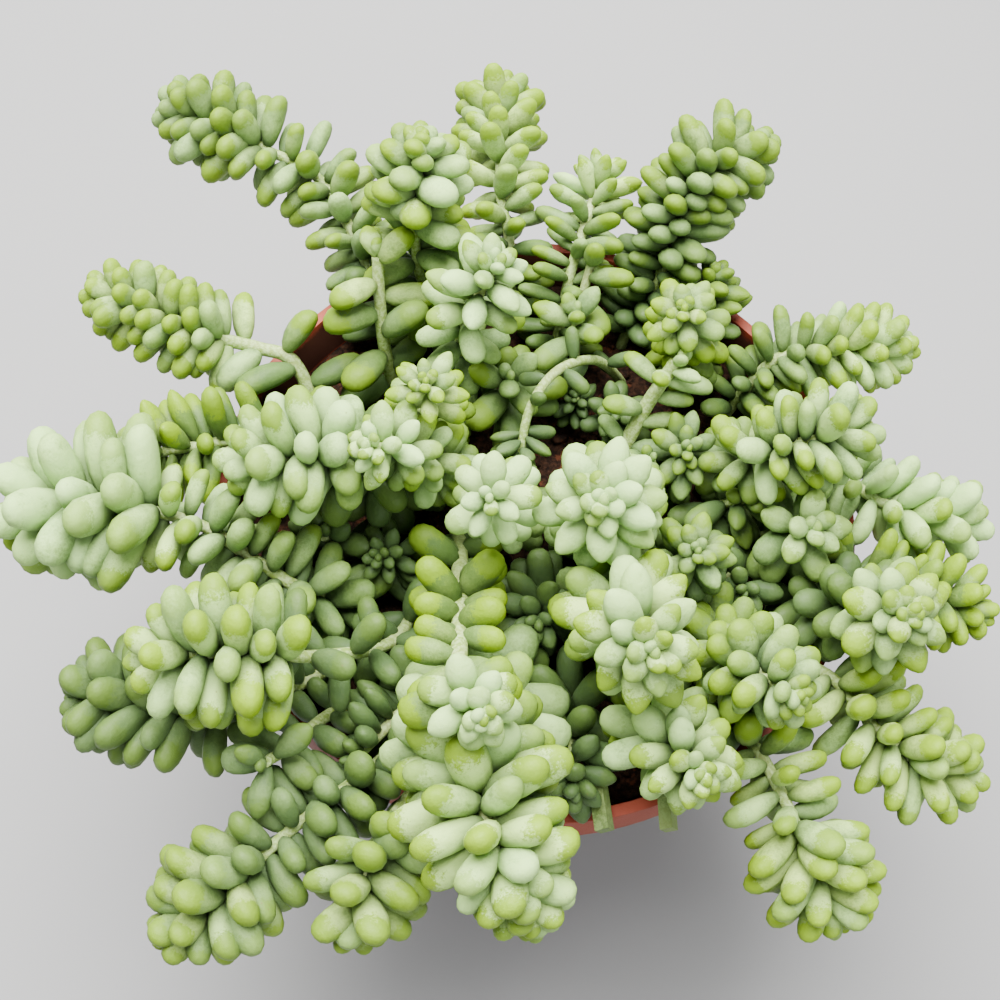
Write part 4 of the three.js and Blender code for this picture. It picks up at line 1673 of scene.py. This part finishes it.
    def _shape(self, plan: StemPlan, lower: bool, youth: float, draw: random.Random) -> LeafShape:
        """Chooses a leaf's shape.

        Args:
            plan: the stem's plan.
            lower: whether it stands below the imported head.
            youth: how far it is grown.
            draw: the stem's seeded draw.

        Returns:
            The shape.
        """
        habit = self.habit
        if youth >= 1 and draw.random() < (habit.curved_lower if lower else habit.curved_head):
            return LeafShape.CURVED
        if youth < habit.bead_until:
            return LeafShape.BEAD
        return LeafShape.PLUMP if lower or plan.dense > habit.plump_head * plan.leaf else LeafShape.SPOON

    def _fit(self, number: int, start: np.ndarray, axes: Sequence[np.ndarray], angles: Span, size: float,
             width: float) -> tuple[np.ndarray, float, int] | None:
        """Tries to find room for one leaf.

        Args:
            number: the stem's number.
            start: the leaf's start on the stem.
            axes: the stem's direction and two normals there.
            angles: the leaf's lean from the stem and its turn round it, in radians.
            size: its length.
            width: its width.

        Returns:
            The leaf's direction, its reach and its capsule's number, or None where there is no room.
        """
        tilt, turn = angles
        radius = width / 2
        for lean_share, swing, size_share in TRIES:
            lean = tilt * lean_share
            along = axes[0] * math.cos(lean) + math.sin(lean) * (
                axes[1] * math.cos(turn + swing) + axes[2] * math.sin(turn + swing))
            reach = size * size_share * self.habit.reach_share
            low, high = start + along * radius, start + along * (reach - radius)
            room_radius = radius * self.habit.capsule_share
            if self.room.is_free(number, low, high, room_radius):
                return along, reach, self.room.take(number, low, high, room_radius)
        return None

    def _tone(self, plan: StemPlan, lower: bool, youth: float, light: float, draw: random.Random) -> Tone:
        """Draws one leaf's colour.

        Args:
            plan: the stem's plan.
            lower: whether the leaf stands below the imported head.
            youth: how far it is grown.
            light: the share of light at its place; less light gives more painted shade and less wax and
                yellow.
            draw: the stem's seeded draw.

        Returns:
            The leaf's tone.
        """
        habit = self.habit
        base = (plan.lower_tint if lower and plan.lower_tint else plan.tint).value
        yellow = base.yellow * draw.uniform(*habit.yellow_spread)
        wax = base.wax * draw.uniform(*habit.wax_spread)
        grown = habit.bud_crevices + (habit.full_crevices - habit.bud_crevices) * youth
        # Painted shade: the tint's share, more deep in the pot, and its share in crevices
        return Tone(yellow * (habit.yellow_in_dark + (1 - habit.yellow_in_dark) * light),
                    wax * (habit.wax_in_dark + (1 - habit.wax_in_dark) * light),
                    min(habit.most_shade, base.shade + (1 - light) * habit.shade_in_dark),
                    grown * base.crevices)

    def _level(self, tangent: np.ndarray) -> tuple[np.ndarray, np.ndarray, np.ndarray]:
        """The stem's frame with its first normal level, for leaves left and right of the stem.

        Args:
            tangent: the stem's direction.

        Returns:
            The direction, the level normal and the normal that looks up.
        """
        side = np.cross(tangent, (0.0, 0.0, 1.0))
        span = np.linalg.norm(side)
        side = side / span if span > self.upright else np.array([1.0, 0.0, 0.0])
        return tangent, side, np.cross(side, tangent)

    def _light(self, place: np.ndarray) -> float:
        """How much light falls where a leaf stands: little down in the pot, full high up or outside.

        Args:
            place: where the leaf stands on its stem.

        Returns:
            A share from 0 to 1.
        """
        height = (place[2] - self.pot.soil_top - self.light_floor) / self.light_depth
        outside = (math.hypot(place[0], place[1]) - self.pot.rim_radius + self.light_edge) / self.light_reach
        return min(1.0, max(0.0, height, outside))

    def _leaf(self, spot: LeafSpot) -> bpy.types.Object:
        """Copies one leaf to its place and marks its tone and its painted shade.

        Args:
            spot: the leaf's place.

        Returns:
            The leaf.
        """
        side = np.cross(spot.axis, spot.along)
        side /= max(np.linalg.norm(side), TINY)
        face = np.cross(spot.along, side)
        thick = spot.width * self.habit.thick_share / self.habit.width_share
        root = self.stem_radius * self.root_share
        matrix = Matrix.Identity(4)
        scaled = ((side, spot.width), (-face, thick), (spot.along, spot.reach - root))
        for column, (vector, scale) in enumerate(scaled):
            for row in range(3):
                matrix[row][column] = vector[row] * scale * MM
        matrix.translation = Vector(spot.start + spot.along * root) * MM
        mesh = self.moulds[spot.shape].data.copy()
        mesh.transform(matrix)
        if matrix.determinant() < 0:
            mesh.flip_normals()
        points = np.empty(len(mesh.vertices) * 3, dtype=np.float32)
        mesh.vertices.foreach_get("co", points)
        marks = mesh.color_attributes["leaf"].data
        colours = np.empty(len(marks) * 4, dtype=np.float32)
        marks.foreach_get("color", colours)
        colours[1::4] = min(spot.tone.yellow, self.habit.most_yellow)
        colours[2::4] = min(spot.tone.wax, self.habit.most_wax)
        # Painted shade from crevices between leaves and from the leaf's tone goes into the alpha channel
        unshaded = 1 - self.room.crevice_shade(spot.row, points.reshape(-1, 3) / MM) * spot.tone.crevices
        colours[3::4] = 1 - unshaded * (1 - spot.tone.shade)
        marks.foreach_set("color", colours)
        mesh.materials.append(self.leaf_material)
        leaf = bpy.data.objects.new("leaf", mesh)
        bpy.context.collection.objects.link(leaf)
        return leaf


# Studio


@dataclass(frozen=True)
class Lamp:
    """One large soft light: its place and width in millimetres, its power in watts and its colour."""

    name: str
    place: Point
    width: float
    power: float
    colour: Point


@dataclass
class Studio:
    """Pale floor, soft light and the camera that looks down from the near side.

    Lengths are in millimetres and angles in degrees.
    """

    rim_height: float
    lamps: tuple[Lamp, ...] = (Lamp("key", (-90, 210, 700), 720, 38.0, (1.0, 0.99, 0.965)),
                               Lamp("fill", (300, -460, 560), 600, 4.5, (0.95, 0.98, 1.0)))
    sky_colour: tuple[float, float, float, float] = (0.95, 0.98, 1.0, 1.0)
    sky_strength: float = 0.31
    floor_width: float = 6000.0
    camera_back: float = 107.6
    camera_above_rim: float = 219.1
    look_down: float = 63.9
    look_left: float = 3.58
    roll: float = 4.0
    focal_share: float = 1.3
    sensor: float = 36.0
    nearest: float = 10.0

    def build(self) -> None:
        """Sets up floor, lights and camera."""
        self._floor()
        for lamp in self.lamps:
            self._light(lamp)
        world = bpy.data.worlds.new("soft_sky")
        world.use_nodes = True
        sky = world.node_tree.nodes["Background"].inputs
        sky["Color"].default_value = self.sky_colour
        sky["Strength"].default_value = self.sky_strength
        bpy.context.scene.world = world
        self._camera()

    def _floor(self) -> None:
        """Lays the floor under the pot."""
        bpy.ops.object.select_all(action="DESELECT")
        bpy.ops.mesh.primitive_plane_add(size=self.floor_width * MM, location=(0, 0, 0))
        floor = settle(bpy.context.object, "floor")
        dress(floor, FloorFinish().material())

    def _light(self, lamp: Lamp) -> None:
        """Hangs one light that looks at the plant.

        Args:
            lamp: the light's sizes.
        """
        data = bpy.data.lights.new(lamp.name, "AREA")
        data.shape = "DISK"
        data.size = lamp.width * MM
        data.energy = lamp.power
        data.color = lamp.colour
        light = bpy.data.objects.new(lamp.name, data)
        bpy.context.collection.objects.link(light)
        light.location = Vector(lamp.place) * MM
        aim = Vector((0, 0, self.rim_height)) * MM - light.location
        light.rotation_euler = aim.to_track_quat("-Z", "Y").to_euler()

    def _camera(self) -> None:
        """Places the camera as the photograph was taken."""
        down, left, roll = (math.radians(angle) for angle in (self.look_down, self.look_left, self.roll))
        ahead = Vector((-math.sin(left) * math.cos(down), math.cos(left) * math.cos(down), -math.sin(down)))
        right = Vector((math.cos(left), math.sin(left), 0))
        up = right.cross(ahead)
        turned_right = right * math.cos(roll) + up * math.sin(roll)
        turned_up = up * math.cos(roll) - right * math.sin(roll)
        data = bpy.data.cameras.new("photo_view")
        data.sensor_width = self.sensor
        data.lens = self.sensor * self.focal_share
        data.clip_start = self.nearest * MM
        camera = bpy.data.objects.new("photo_view", data)
        bpy.context.collection.objects.link(camera)
        matrix = Matrix((turned_right, turned_up, -ahead)).transposed().to_4x4()
        matrix.translation = Vector((0, -self.camera_back, self.rim_height + self.camera_above_rim)) * MM
        camera.matrix_world = matrix
        bpy.context.scene.camera = camera


def main() -> None:
    """Builds the whole scene."""
    logging.basicConfig(level=logging.INFO, format="%(name)s %(message)s")
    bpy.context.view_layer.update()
    pot = Pot()
    pot.build()
    Soil(pot).build()
    Foliage(pot).build()
    Studio(pot.height).build()


if __name__ == "__main__":
    main()
